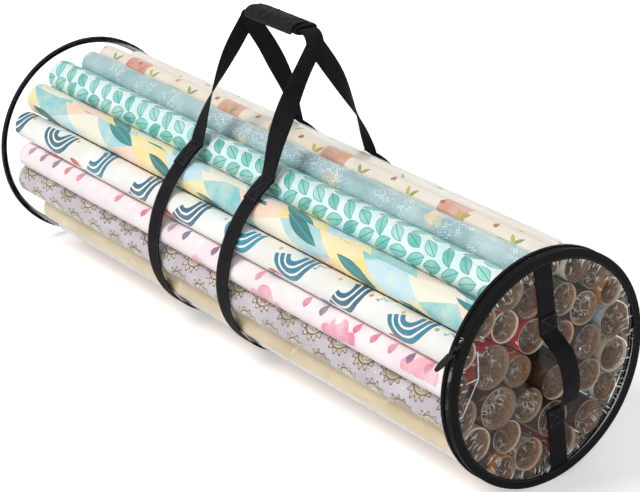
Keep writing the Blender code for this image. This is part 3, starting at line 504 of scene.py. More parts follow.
webbing = wovenWebbing()
binding = wovenTape("wovenPolyesterBinding", tapeLook["bindingRib"])
zipperTape = wovenTape("wovenZipperTape", tapeLook["zipperRib"])
gripCloth = plainWeave()
fuzz = hookAndLoop()
# Zipper coil: drawn nylon, smooth and slightly glossy.
coil = mottled("drawnNylonCoil", 60.0, "0B0B0D", "18181B", Roughness=0.45, IOR=1.53, Specular_IOR_Level=0.2)
# Sewing thread: twisted polyester, a touch lighter than the cloth it is sewn into.
thread = mottled("twistedPolyesterThread", 700.0, "1D1D20", "3A3A3F", Roughness=0.5, Sheen_Weight=0.3)
zinc = enamelledZinc()
bodyVinyl = clearVinyl("calenderedClearVinyl", (0.9, 6.0, 6.0))
farVinyl = clearVinyl("calenderedEndVinyl", (1.0, 5.0, 5.0))
# painted highlights: the cap's film gets white lines along these creases, standing in for glints
capVinyl = clearVinyl("calenderedCapVinyl", (1.0, 9.0, 9.0), 1.6, creases=(
    ((-0.107, 0.052), (-0.104, 0.018), 0.9 * mm), ((-0.104, 0.018), (-0.127, -0.024), 0.8 * mm),
    ((-0.122, 0.016), (-0.104, 0.018), 0.7 * mm)))
kraft = kraftBoard()
cellophane = crumpledFilm("tuckedCellophane", ("F2EEE9", "F2EEE9"))
# painted shade: brown film for the gaps between the outer rolls, standing in for the shadow there
paintedShadeCellophane = crumpledFilm("paintedShadeCellophane", ("3A2D24", "7E6B5B"))
paperEdges = [paperEdge(hexText) for hexText in ("8C7866", "9A8570", "D8C6B2", "D9A48E", "E6DCCF")]


def addObject(name, data):
    made = bpy.data.objects.new(name, data)
    bpy.context.scene.collection.objects.link(made)
    return made


def makePiece(name, points, faces, materials, slots=None, uvs=None, weld=False):
    mesh = bpy.data.meshes.new(name)
    mesh.from_pydata([tuple(p) for p in points], [], faces)
    for material in materials:
        mesh.materials.append(material)
    if slots is not None:
        mesh.polygons.foreach_set("material_index", slots)
    if uvs is not None:
        layer = mesh.uv_layers.new(name="weave")
        layer.data.foreach_set("uv", np.array(uvs, np.float32).ravel())
    bm = bmesh.new()
    bm.from_mesh(mesh)
    if weld:
        bmesh.ops.remove_doubles(bm, verts=bm.verts, dist=0.01 * mm)
    bmesh.ops.recalc_face_normals(bm, faces=bm.faces)
    bm.to_mesh(mesh)
    bm.free()
    mesh.shade_smooth()
    return addObject(name, mesh)


def skin(name, rings, coords, materials, around=True, along=False, ends=False, slots=None, weld=False):
    # Joins rows of points. coords holds a (u, v) for each row and point, with one more each way where it closes.
    count, size = len(rings), len(rings[0])
    faces, uvs, faceSlots = [], [], []
    for i in range(count if along else count - 1):
        j = (i + 1) % count
        for k in range(size if around else size - 1):
            m = (k + 1) % size
            faces.append((i * size + k, j * size + k, j * size + m, i * size + m))
            uvs += [coords[i][k], coords[i + 1][k], coords[i + 1][k + 1], coords[i][k + 1]]
            faceSlots.append(slots[i] if slots else 0)
    if ends:
        for i, order in ((0, range(size)), (count - 1, reversed(range(size)))):
            order = list(order)
            faces.append([i * size + k for k in order])
            uvs += [coords[i][k] for k in order]
            faceSlots.append(0)
    points = [point for ring in rings for point in ring]
    return makePiece(name, points, faces, materials, faceSlots, uvs, weld)


def skinRound(name, rows, steps, place, materials, **joins):
    # Skins place(row, angle), which gives a point and its (u, v), for angles all the way round.
    cells = [[place(row, angle) for angle in spread(0.0, fullTurn, steps)] for row in rows]
    coords = [[uv for point, uv in line] for line in cells]
    return skin(name, [[point for point, uv in line[:-1]] for line in cells], coords, materials, **joins)


def dress(piece, node, body):  # the piece stands for the CAD node and rides on its body
    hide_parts(node)
    node + "_finish"
    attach(piece, body)
    return piece


def rounded(outline, reach, steps=3):  # the closed outline with each corner drawn as a short curve
    curve = []
    for k, corner in enumerate(outline):
        corner = Vector(corner)
        before = Vector(outline[k - 1]) - corner
        after = Vector(outline[(k + 1) % len(outline)]) - corner
        start = corner + before * min(0.45, reach / before.length)
        end = corner + after * min(0.45, reach / after.length)
        for t in spread(0, 1, steps):
            curve.append(start * (1 - t) ** 2 + corner * 2 * t * (1 - t) + end * t * t)
    return curve


def revolve(name, outline, material, soft, lift=lambda angle: 0.0, around=216):
    # Carries an outline of (radius, x) round the bag. soft rounds its corners, lift gives a small change of radius.
    outline = rounded(outline, soft)
    lengths = [0.0]
    for k, point in enumerate(outline):
        lengths.append(lengths[-1] + (outline[(k + 1) % len(outline)] - point).length)
    angles = spread(0.0, fullTurn, around)
    rings = [[onBag(point.y, point.x + lift(angle), angle) for point in outline] for angle in angles[:-1]]
    coords = [[(bag["rim"] * angle, length) for length in lengths] for angle in angles]
    return skin(name, rings, coords, [material], along=True)


print("rolls")

rollLook = {
    "segments": 60,
    "rows": 8,
    "edgeStep": 0.7 * mm,  # the free edge of the paper stands this far off the turn below
    "paperShare": 0.45,  # of the wall, the rest is the board core
    "lean": 2.6 * mm,  # how far the turns may have slipped along the roll
    "coreRecess": 3.0 * mm,
}
# the inner rolls mostly get umber paper, which is partly painted shade for the gaps between rolls
rollPrints = """leaf diamond frost fan drop rosette kraft plainWhite garden cream moss amber frost kraft leaf umber
    cherry amber cherry cherry umber umber rosette umber umber umber moss umber cherry amber umber umber rosette
    umber""".split()  # from roll_01 on
freeEdges = (2.6, 0.4, 1.9, 4.4, 3.6, 5.3, 0.9, 2.2, 5.9)  # where round the roll its paper ends, in radians
paperMaterials = {name: printedPaper(name + "Paper") for name in sorted(set(rollPrints))}


def measureRoll(number):
    node = "roll_%02d" % number
    low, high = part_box(node)
    centre = Vector((0, (low.y + high.y) / 2, (low.z + high.z) / 2))
    bore = min((v.co.yz - centre.yz).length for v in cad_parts[node].data.vertices)
    return node, low.x, high.x, centre, (high.z - low.z) / 2, bore


measured = [measureRoll(k + 1) for k in range(len(rollPrints))]
rollCircles = [(centre.y - axisY, centre.z - axisZ, radius) for _, _, _, centre, radius, _ in measured]


def buildRoll(number):
    node, far, near, centre, radius, bore = measured[number - 1]
    core = radius - (radius - bore) * rollLook["paperShare"]
    lean = rollLook["lean"] * math.sin(number * 2.3)
    recess = max(lean, 0) + rollLook["coreRecess"] * (0.4 + 0.6 * abs(math.sin(number * 1.7)))
    # (x, radius, share of the free edge's step, material slot)
    stations = [(x, radius, 1.0, 0) for x in spread(far, near, rollLook["rows"])]
    for end, inward in ((near, -1), (far, 1)):
        faces = []
        for k, t in enumerate(spread(0, 1, 3)):
            slip = max(lean, 0) * t + max(-lean, 0) * (1 - t)
            wave = 0.35 * mm * math.sin(number + k * 2.1)
            faces.append((end + inward * (slip + abs(wave)), radius - 0.25 * mm + (core - radius) * t, 1 - t, 1))
        faces.append((end + inward * recess, core, 0, 1))
        faces.append((end + inward * recess, bore + 0.2 * mm, 0, 2))
        faces.append((end + inward * (recess + 0.4 * mm), bore, 0, 2))
        stations += faces if inward < 0 else faces[::-1]
    size = rollLook["segments"]
    turnAt = freeEdges[number % len(freeEdges)]
    rings, coords = [], []
    run = 0.0
    for i, (x, out, step, slot) in enumerate(stations + stations[:1]):
        before = stations[i - 1] if i else stations[0]
        run += math.hypot(x - before[0], out - before[1])
        coords.append([(run, radius * turn) for turn in spread(0.0, fullTurn, size)])
        ring = []
        for k in range(size):
            share = k / (size - 1)
            angle = turnAt + fullTurn * share * 0.999
            r = out - rollLook["edgeStep"] * step * (1 - share)
            ring.append(centre + Vector((x, r * math.cos(angle), r * math.sin(angle))))
        rings.append(ring)
    slots = [max(here[3], after[3]) for here, after in zip(stations, stations[1:] + stations[:1])]
    materials = [paperMaterials[rollPrints[number - 1]], paperEdges[number % len(paperEdges)], kraft]
    piece = skin("paperRoll%02d" % number, rings[:-1], coords, materials, along=True, slots=slots)
    piece.data.set_sharp_from_angle(angle=math.radians(35))
    return dress(piece, node, "bag")


rolls = [buildRoll(k + 1) for k in range(len(rollPrints))]
filmLook = {"rings": 9, "around": 36, "deep": 6 * mm, "sag": 4 * mm, "crumple": 10 * mm, "free": 0.1 * mm}


def tuckFilms():  # a crumpled film across the mouth of each roll, at the cap's end
    points, faces = [], []
    size = filmLook["around"]
    for number, (_, _, end, centre, _, bore) in enumerate(measured, 1):
        first = len(points)
        for share in spread(0, 1, filmLook["rings"]):
            for angle in spread(0.0, fullTurn, size)[:-1]:
                y, z = math.cos(angle) * share, math.sin(angle) * share
                fold = drift(y * 2.7, z * 2.7, number * 3.1) + 0.5 * abs(drift(y * 6, z * 6, number * 1.7))
                depth = filmLook["deep"] + filmLook["sag"] * (1 - share ** 2)
                depth += filmLook["crumple"] * fold * (1 - share ** 6)
                wide = bore - filmLook["free"]
                points.append(centre + Vector((end - depth, y * wide, z * wide)))
        for i in range(filmLook["rings"]):
            for k in range(size):
                m = (k + 1) % size
                a, b = first + i * size, first + (i + 1) * size
                faces.append((a + k, b + k, b + m, a + m))
    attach(makePiece("tuckedFilms", points, faces, [cellophane], weld=True), "bag")


gapLook = {
    "from": -116, "to": 64,  # degrees round the bag
    "columns": 420,
    "rows": 36,
    "outer": 143.4 * mm,
    "inner": 106 * mm,
    "free": 0.6 * mm,  # from the rolls
    "behind": 2.5 * mm,  # the rolls' ends
    "crumple": 9 * mm,
    "rim": 10 * mm,  # within this of the sheet it stands up towards the cap
    "rise": 3.5 * mm,
}


def fillGaps():  # painted shade: a brown crumpled film between the outer rolls, where the sheet would show, a dark sheet standing in for the shadow and the dark binding seen there
    look = gapLook
    ends = [end for _, _, end, _, _, _ in measured]
    cell = (look["outer"] - look["inner"]) / look["rows"]
    points, spots = [], {}
    for column, degrees in enumerate(spread(look["from"], look["to"], look["columns"])):
        angle = math.radians(degrees)
        for row in range(look["rows"] + 1):
            far = look["outer"] - cell * row
            y, z = far * math.cos(angle), far * math.sin(angle)
            near = sorted((math.hypot(y - cy, z - cz) - radius, n) for n, (cy, cz, radius) in enumerate(rollCircles))[:3]
            off, n = near[0]
            if off < look["free"] - 1.5 * cell:
                break
            if off < look["free"]:  # onto the roll's side
                cy, cz, radius = rollCircles[n]
                share = (radius + look["free"]) / (radius + off)
                y, z = cy + (y - cy) * share, cz + (z - cz) * share
                if math.hypot(y, z) > look["outer"]:
                    break
            weights = [1 / (max(gap, 0) + 1 * mm) ** 2 for gap, m in near]
            end = sum(w * ends[m] for w, (gap, m) in zip(weights, near)) / sum(weights)
            fold = abs(noise.noise(Vector((y, z, 0)) * 95)) + 0.5 * abs(noise.noise(Vector((y, z, 0.02)) * 260))
            rim = max(0, 1 - (look["outer"] - math.hypot(y, z)) / look["rim"])
            depth = look["behind"] + look["crumple"] * fold * (1 - 0.8 * rim) - look["rise"] * rim
            spots[column, row] = len(points)
            points.append(Vector((min(end - depth, max(ends)), axisY + y, axisZ + z)))
    faces = []
    for k, i in spots:
        corners = [(k, i), (k, i + 1), (k + 1, i + 1), (k + 1, i)]
        if all(corner in spots for corner in corners):
            faces.append([spots[corner] for corner in corners])
    used = sorted({index for face in faces for index in face})
    order = {index: place for place, index in enumerate(used)}
    faces = [[order[index] for index in face] for face in faces]
    piece = makePiece("paintedShadeGapFilm", [points[index] for index in used], faces, [paintedShadeCellophane], weld=True)
    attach(piece, "bag")


tuckFilms()
fillGaps()

print("clear vinyl")

vinyl = {
    "around": 240,
    "along": 150,
    "stiffEnd": 12 * mm,
    "roundReach": 75 * mm,  # past its stiff ends the sheet keeps the rims' round shape for about so far
    "ripple": 0.35 * mm,
    "pucker": 0.8 * mm,
    "puckerReach": 16 * mm,
}


def tautRadius():  # the sheet's inside, drawn tight round the outer rolls, for each degree
    turns = np.radians(np.arange(360))
    support = np.full(360, -1.0)
    for y, z, radius in rollCircles:
        support = np.maximum(support, y * np.cos(turns) + z * np.sin(turns) + radius)
    found = []
    for turn in turns:
        facing = np.cos(turn - turns)
        near = facing > 0.6
        found.append(float((support[near] / facing[near]).min()) + 0.4 * mm)
    return found


def thicken(piece, offset):
    wall = piece.modifiers.new("film", "SOLIDIFY")
    wall.thickness = bag["sheetThickness"]
    wall.offset = offset


def wrapVinyl():
    taut = tautRadius()
    start, end = sheetLow.x, sheetHigh.x

    def place(x, angle):
        nearEnd = min(x - start, end - x)
        hold = smoothStep((nearEnd - vinyl["stiffEnd"]) / vinyl["roundReach"])
        degree = math.degrees(angle) % 360
        low = int(degree) % 360
        part = degree - int(degree)
        tight = taut[low] * (1 - part) + taut[(low + 1) % 360] * part
        inside = bag["sheetInside"] * (1 - hold) + min(tight, bag["sheetInside"]) * hold
        y, z = math.cos(angle), math.sin(angle)
        wave = drift(x * 5, y * 2.6, z * 2.6) + 0.4 * drift(x * 16, y * 9, z * 9)
        radius = inside + bag["sheetThickness"] + min(bag["sheetInside"] - inside, vinyl["ripple"]) * wave
        gather = vinyl["pucker"] * math.exp(-nearEnd / vinyl["puckerReach"])
        radius -= gather * max(drift(x * 3, y * 14, z * 14), 0)
        return onBag(x, radius, angle), (x, bag["rim"] * angle)

    piece = skinRound("vinylBody", spread(start, end, vinyl["along"]), vinyl["around"], place, [bodyVinyl])
    thicken(piece, -1)
    dress(piece, "body_sheet", "bag")
    return piece


panelLook = {
    "rings": 44,
    "around": 288,
    "pucker": 2.6 * mm,  # how deep the gathers at the seam are
    "puckerReach": 15 * mm,
    "bulge": 1.0 * mm,
    "bulgeReach": 40 * mm,
}


def vinylPanel(name, node, seam, inward, creases, film, body):
    # A round end panel, gathered where it meets the binding at the radius seam. inward is the way that its gathers
    # sink. A crease is its place, slope, width and depth.
    low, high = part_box(node)
    middle = (low.x + high.x) / 2
    edge = (high.z - low.z) / 2

    def place(radius, angle):
        y, z = math.cos(angle), math.sin(angle)
        inside = max(seam - radius, 0.0)
        fold = drift(y * 7, z * 7, 1.3) + 0.5 * drift(y * 21, z * 21, 4.1)
        depth = panelLook["pucker"] * max(fold, 0) * math.exp(-inside / panelLook["puckerReach"])
        depth *= smoothStep((edge - radius) / (edge - seam))
        swell = 0.5 + drift(y * radius * 18, z * radius * 18, 7.7)
        depth += panelLook["bulge"] * swell * smoothStep(inside / panelLook["bulgeReach"])
        for creaseY, creaseZ, slope, wide, deep in creases:
            offY, offZ = y * radius - creaseY, z * radius - creaseZ
            off = offY * math.cos(slope) + offZ * math.sin(slope)
            along = offZ * math.cos(slope) - offY * math.sin(slope)
            depth += deep * math.exp(-(off / wide) ** 2) * math.exp(-(along / (wide * 9)) ** 2)
        return onBag(middle + inward * depth, radius, angle), (radius * y, radius * z)

    radii = [edge * (1 - (1 - share) ** 1.6) for share in spread(0, 1, panelLook["rings"])]
    piece = skinRound(name, radii, panelLook["around"], place, [film], weld=True)
    thicken(piece, 0)
    dress(piece, node, body)
    return piece


wrapVinyl()
farCreases = ((0.03, 0.05, 0.5, 5 * mm, 0.8 * mm),)
capCreases = ((-0.085, 0.045, 0.35, 4 * mm, 1.6 * mm), (-0.105, -0.03, -0.25, 5 * mm, 1.2 * mm),
              (0.09, 0.02, 0.15, 5 * mm, 1.0 * mm), (0.03, -0.11, 1.3, 4 * mm, 1.0 * mm))
vinylPanel("vinylFarPanel", "far_panel", 136 * mm, 1, farCreases, farVinyl, "bag")
vinylPanel("vinylCapPanel", "cap_panel", 134 * mm, -1, capCreases, capVinyl, "cap")

print("bindings, tapes and teeth")

rimLook = {
    "thickness": 1.5 * mm,
    "farFace": 9 * mm,
    "farSide": 8 * mm,
    "capFace": 12 * mm,
    "capSide": 4 * mm,
    "soft": 0.7 * mm,
    "tapeSoft": 0.25 * mm,
    "unevenness": 0.35 * mm,
}


def buildRims():
    rim, thick = bag["rim"], rimLook["thickness"]
    for name, node, body, seed, x, inward, face, side in (
            ("boundFarRim", "far_binding", "bag", 1.0, bag["farX"], 1, rimLook["farFace"], rimLook["farSide"]),
            ("boundCapRim", "cap_binding", "cap", 2.0, bag["faceX"], -1, rimLook["capFace"], rimLook["capSide"])):
        back, skinX = x + inward * side, x + inward * thick
        outline = [(rim, back), (rim, x), (rim - face, x), (rim - face, skinX), (rim - thick, skinX),
                   (rim - thick, back)]
        if inward < 0:
            outline = [outline[1], outline[0]] + outline[:1:-1]
        uneven = lambda angle: rimLook["unevenness"] * drift(math.cos(angle) * 3, math.sin(angle) * 3, seed)
        dress(revolve(name, outline, binding, rimLook["soft"], uneven), node, body)
    for name, node, material, body, soft, outside, inside in (
            ("boundBodyRim", "body_rim_binding", binding, "bag", rimLook["soft"], rim, rim - thick),
            ("bodyZipperTape", "body_zipper_tape", zipperTape, "bag", rimLook["tapeSoft"], bag["tapeOutside"],
             bag["tapeInside"]),
            ("capZipperTape", "cap_zipper_tape", zipperTape, "cap", rimLook["tapeSoft"], bag["tapeOutside"],
             bag["tapeInside"])):
        low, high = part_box(node)
        outline = [(outside, high.x), (outside, low.x), (inside, low.x), (inside, high.x)]
        dress(revolve(name, outline, material, soft), node, body)


hinge = {"start": math.radians(102), "end": math.radians(150), "steps": 48, "across": 8}


def buildHingeStrip():  # cloth between the cap's tape and the body's, where there are no teeth
    low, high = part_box("cap_hinge_strip")
    xs = spread(low.x, high.x, hinge["across"])
    outline = [(bag["tapeOutside"], x) for x in xs] + [(bag["tapeInside"], x) for x in reversed(xs)]
    angles = spread(hinge["start"], hinge["end"], hinge["steps"])
    rows = [[onBag(x, radius, angle) for radius, x in outline] for angle in angles]
    coords = [[(bag["rim"] * angle, k * mm) for k in range(len(outline) + 1)] for angle in angles]
    piece = skin("clothHinge", rows, coords, [zipperTape], ends=True)
    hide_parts("cap_hinge_strip")
    middle = (hinge["start"] + hinge["end"]) / 2
    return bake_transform(piece, "bag", "cap", start=onBag(low.x, bag["rim"], middle), end=onBag(high.x, bag["rim"], middle))


buildRims()
buildHingeStrip()


def beadTree(name, segments, rings, upright):
    # Geometry nodes that lay beads end to end along an edge path. upright turns them square to the tape round the
    # bag's axis, as the turns of a coil stand; otherwise they are short threads.
    tree = bpy.data.node_groups.new(name, "GeometryNodeTree")
    for label, kind in (("Geometry", "Geometry"), ("Pitch", "Float"), ("Size", "Vector"), ("Axis point", "Vector"),
                        ("Material", "Material")):
        tree.interface.new_socket(label, in_out="INPUT", socket_type="NodeSocket" + kind)
    tree.interface.new_socket("Geometry", in_out="OUTPUT", socket_type="NodeSocketGeometry")
    given = addNode(tree, "NodeGroupInput").node.outputs
    path = addNode(tree, "GeometryNodeMeshToCurve", {"Mesh": given["Geometry"]})
    spaced = addNode(tree, "GeometryNodeResampleCurve", {"Curve": path, "Length": given["Pitch"]}, mode="LENGTH")
    bead = addNode(tree, "GeometryNodeMeshUVSphere", {"Segments": segments, "Rings": rings, "Radius": 0.5})
    single = addNode(tree, "GeometryNodeTransform", {"Geometry": bead, "Scale": given["Size"]})
    tangent = addNode(tree, "GeometryNodeInputTangent")
    turn = addNode(tree, "FunctionNodeAlignRotationToVector", {"Vector": tangent}, axis="X")
    if upright:
        place = addNode(tree, "GeometryNodeInputPosition")
        outward = addNode(tree, "ShaderNodeVectorMath", [place, given["Axis point"]], operation="SUBTRACT")
        turn = addNode(tree, "FunctionNodeAlignRotationToVector", {"Rotation": turn, "Vector": outward}, axis="Z",
                       pivot_axis="X")
    laid = addNode(tree, "GeometryNodeInstanceOnPoints", {"Points": spaced, "Instance": single, "Rotation": turn})
    real = addNode(tree, "GeometryNodeRealizeInstances", {"Geometry": laid})
    done = addNode(tree, "GeometryNodeSetMaterial", {"Geometry": real, "Material": given["Material"]})
    addNode(tree, "NodeGroupOutput", {"Geometry": done})
    return tree


def grow(name, lines, tree, values):  # runs a tree on edge paths and keeps the result as a plain mesh
    points = [tuple(point) for line in lines for point in line]
    edges, first = [], 0
    for line in lines:
        edges += [(first + k, first + k + 1) for k in range(len(line) - 1)]
        first += len(line)
    mesh = bpy.data.meshes.new(name + "Path")
    mesh.from_pydata(points, edges, [])
    source = addObject(name + "Path", mesh)
    modifier = source.modifiers.new(name, "NODES")
    modifier.node_group = tree
    for item in tree.interface.items_tree:
        if item.in_out == "INPUT" and item.name in values:
            modifier[item.identifier] = values[item.name]
    source.update_tag()
    graph = bpy.context.evaluated_depsgraph_get()
    grown = bpy.data.meshes.new_from_object(source.evaluated_get(graph), depsgraph=graph)
    bpy.data.objects.remove(source)
    grown.shade_smooth()
    return addObject(name, grown)


stitches = beadTree("runningStitches", 6, 4, False)
coils = beadTree("zipperCoil", 8, 5, True)
threads = {  # pitch, length and thickness of the stitches, in millimetres
    "rim": (3.2, 2.3, 0.45),
    "belt": (3.6, 2.6, 0.5),
    "box": (3.0, 2.3, 0.5),
    "grip": (3.0, 2.2, 0.45),
}


def sew(name, lines, body, kind):
    pitch, length, thickness = (size * mm for size in threads[kind])
    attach(grow(name, lines, stitches, {"Pitch": pitch, "Size": (length, thickness, thickness),
                                         "Material": thread}), body)


chain = {
    "radius": 145.8 * mm,
    "tip": 0.35 * mm,  # from the middle of the zipper to the turns' tips
    "turn": (1.5 * mm, 1.95 * mm, 2.4 * mm),  # one turn of the coil, along, across and through the tape
    "pitch": 1.9 * mm,
    "bodySpans": ((152.0, 460.0),),
    "capSpans": ((150.6, 153.6), (160.6, 461.4)),  # the parked slider fills the space between
    "stepsPerDegree": 0.8,
}


def buildTeeth():
    for name, node, body, side, spans in (("bodyCoil", "body_zipper_teeth", "bag", -1, chain["bodySpans"]),
                                          ("capCoil", "cap_zipper_teeth", "cap", 1, chain["capSpans"])):
        x = bag["splitX"] + side * (chain["tip"] + chain["turn"][1] / 2)
        lines = []
        for start, end in spans:
            steps = max(8, round(chain["stepsPerDegree"] * (end - start)))
            lines.append([onBag(x, chain["radius"], math.radians(turn)) for turn in spread(start, end, steps)])
        dress(grow(name, lines, coils, {"Pitch": chain["pitch"], "Size": chain["turn"],
                                        "Axis point": (x, axisY, axisZ), "Material": coil}), node, body)


def sewRims():
    far, face, clear = bag["farX"], bag["faceX"], 0.1 * mm
    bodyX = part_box("body_rim_binding")[0].x + 1.1 * mm
    for name, body, lines in (
            ("farRimStitches", "bag", ((far - clear / 2, -7 * mm), (far + 6.2 * mm, clear))),
            ("capRimStitches", "cap", ((face + clear / 2, -10 * mm),)),
            ("bodyRimStitches", "bag", ((bodyX, clear),))):
        sew(name, [[onBag(x, bag["rim"] + out, angle) for angle in spread(0.0, fullTurn, 240)] for x, out in lines],
            body, "rim")


buildTeeth()
sewRims()

print("webbing")

belts = {
    "centre": bag["middleX"] - 12 * mm,
    "spacing": 160 * mm,
    "slant": 36 * mm,
    "start": 123.75,
    "arc": 292.5,
    "radius": 146.2 * mm,
    "steps": 156,
    "stitchesAt": 10.4 * mm,  # from the middle
}


def beltStation(side, degrees):
    share = (degrees - belts["start"]) / belts["arc"]
    return belts["centre"] + side * belts["spacing"] / 2 - belts["slant"] * (1 - math.cos(fullTurn * share)) / 2


def webbingStrip(name, centres, acrosses, first=0, last=None):
    # A strip with rounded selvedges along a path. acrosses gives the crosswise direction at each point. Only the
    # stretch from the point numbered first to the one numbered last becomes the piece.
    half, edge = bag["webbingWidth"] / 2, bag["webbingThickness"] / 2
    section = [(-half + edge, edge), (-half / 3, edge * 1.06), (half / 3, edge * 1.06), (half - edge, edge),
               (half - edge * 0.3, edge * 0.7), (half, 0), (half - edge * 0.3, -edge * 0.7)]
    section += [(-a, -b) for a, b in section]
    rings, coords, flats, normals = [], [], [], []
    run = 0.0
    for k, (centre, across) in enumerate(zip(centres, acrosses)):
        along = (centres[min(k + 1, len(centres) - 1)] - centres[max(k - 1, 0)]).normalized()
        flats.append((across - along * across.dot(along)).normalized())
        normals.append(along.cross(flats[k]))
        run += (centre - centres[max(k - 1, 0)]).length
        rings.append([centre + flats[k] * a + normals[k] * b for a, b in section])
        coords.append([(run, a) for a, b in section + section[:1]])
    end = len(centres) if last is None else last + 1
    return skin(name, rings[first:end], coords[first:end], [webbing], ends=True), flats, normals


def buildBelts():
    for name, node, side in (("leftBeltWebbing", "left_belt", -1), ("rightBeltWebbing", "right_belt", 1)):
        turns = spread(belts["start"], belts["start"] + belts["arc"], belts["steps"])
        centres = [onBag(beltStation(side, turn), belts["radius"], math.radians(turn)) for turn in turns]
        dress(webbingStrip(name, centres, [Vector((1, 0, 0))] * len(centres))[0], node, "bag")
        sew(name + "Stitches", [
            [onBag(c.x + off, belts["radius"] + 0.9 * mm, math.radians(turn)) for c, turn in zip(centres, turns)][8:-8]
            for off in (-belts["stitchesAt"], belts["stitchesAt"])], "bag", "belt")


grip = {
    "height": 295 * mm,
    "length": 108 * mm,
    "centre": bag["middleX"] - 16 * mm,
    "corner": 14 * mm,
    "step": 4 * mm,
    "layer": 1.2 * mm,
    "halfWidth": 17.8 * mm,
    "halfHeight": 7.2 * mm,
    "wall": 4 * mm,
    "halfCavity": 3.2 * mm,
    "power": 2.6,
}
legs = {
    "bows": ((0.10, 0.020), (0.34, 0.055), (0.68, 0.050)),
    "twistEnd": 0.86,
    "radius": 148.1 * mm,
    "overlap": 15.0,  # degrees of the belt that a sewn end lies on
    "overlapSteps": 10,
    "steps": 14,
    "cornerSteps": 8,
    "drop": 110 * mm,  # how far the grip goes down
}


def throughPoints(points, steps):  # a Catmull-Rom curve
    ends = [points[0] * 2 - points[1]] + list(points) + [points[-1] * 2 - points[-2]]
    curve = []
    for before, here, there, after in zip(ends, ends[1:], ends[2:], ends[3:]):
        for t in spread(0, 1, steps)[:-1]:
            curve.append(0.5 * (2 * here + (there - before) * t + (2 * before - 5 * here + 4 * there - after) * t ** 2
                                + (3 * here - before - 3 * there + after) * t ** 3))
    return curve + [points[-1]]


def handleLeg(side, layer):
    turns = spread(belts["start"], belts["start"] + legs["overlap"], legs["overlapSteps"])[::-1]
    line = [onBag(beltStation(side, turn), legs["radius"], math.radians(turn)) for turn in turns]
    start = line.pop()
    corner = grip["corner"] + layer
    gripEnd = grip["centre"] + side * grip["length"] / 2
    level = axisZ + grip["height"] + layer
    top = Vector((gripEnd + side * (grip["step"] + corner), axisY, level - corner))
    rise = top - start
    knots = [start] + [start + rise * share + Vector((0, -rise.z * bow, 0)) for share, bow in legs["bows"]]
    line += throughPoints(knots + [top], legs["steps"])
    for turn in spread(0, math.pi / 2, legs["cornerSteps"])[1:]:
        line.append(top + Vector((-side * corner * (1 - math.cos(turn)), 0, corner * math.sin(turn))))
    line += [Vector((gripEnd, axisY, level)), Vector((grip["centre"], axisY, level))]
    acrosses = []
    for point in line:
        share = smoothStep((point.z - start.z) / rise.z / legs["twistEnd"])
        acrosses.append(Vector((side * math.cos(math.pi / 2 * share), math.sin(math.pi / 2 * share), 0)))
    return line, acrosses


boxReach = 9.5 * mm
boxLift = 0.56 * bag["webbingThickness"]


def boxStitch(flats, normals, centres, first, last, lift):  # a rectangle with a cross, on a sewn end
    middles = [centres[k] + normals[k] * lift for k in range(first, last + 1)]
    lines = [[p + q * boxReach * (slope * (2 * k / (last - first) - 1) + off)
              for k, (p, q) in enumerate(zip(middles, flats[first:last + 1]))]
             for slope, off in ((0, -1), (0, 1), (1, 0), (-1, 0))]
    return lines + [[lines[0][end], lines[1][end]] for end in (0, -1)]


def buildHandles():
    for name, node, face, layer in (("frontHandleWebbing", "front_handle", 1, grip["layer"]),
                                    ("backHandleWebbing", "back_handle", -1, -grip["layer"])):
        leftLine, leftAcross = handleLeg(-1, layer)
        rightLine, rightAcross = handleLeg(1, layer)
        centres = leftLine + rightLine[-2::-1]
        acrosses = leftAcross + rightAcross[-2::-1]
        centres = [Vector((p.x, axisY + face * (p.y - axisY), p.z)) for p in centres]
        acrosses = [Vector((w.x, face * w.y, 0)) for w in acrosses]
        for before, across in zip(acrosses, acrosses[1:]):
            if across.dot(before) < 0:
                across.negate()
        last = len(centres) - 1
        sewn = legs["overlapSteps"]
        for label, first, end in (("LeftEnd", 0, sewn), ("Loop", sewn, last - sewn), ("RightEnd", last - sewn, last)):
            piece, flats, normals = webbingStrip(name + label, centres, acrosses, first, end)
            dress(piece, node, "bag")
            if label == "Loop":  # the loop gets a mesh of its own
                anchor = onBag(0, legs["radius"], math.radians(belts["start"]))
                height = axisZ + grip["height"] - anchor.z
                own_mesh(piece)
        lines = []
        for at, first, end in ((2, 1, sewn), (-3, last - sewn, last - 1)):
            outward = 1 if normals[at] @ (centres[at] - onBag(centres[at].x, 0, 0)) > 0 else -1
            lines += boxStitch(flats, normals, centres, first, end, outward * boxLift)
        sew(name + "Stitches", lines, "bag", "box")


capWebbing = {
    "tilt": math.radians(9),
    "shift": 6 * mm,
    "top": 48 * mm,
    "bottom": 53 * mm,
    "tab": 24 * mm,
    "bow": ((0.0, 0.03), (0.06, 0.28), (0.20, 0.78), (0.5, 1.0), (0.80, 0.78), (0.94, 0.28), (1.0, 0.03)),
    "steps": 8,
    "strapSteps": 16,
    "room": 4 * mm,
}


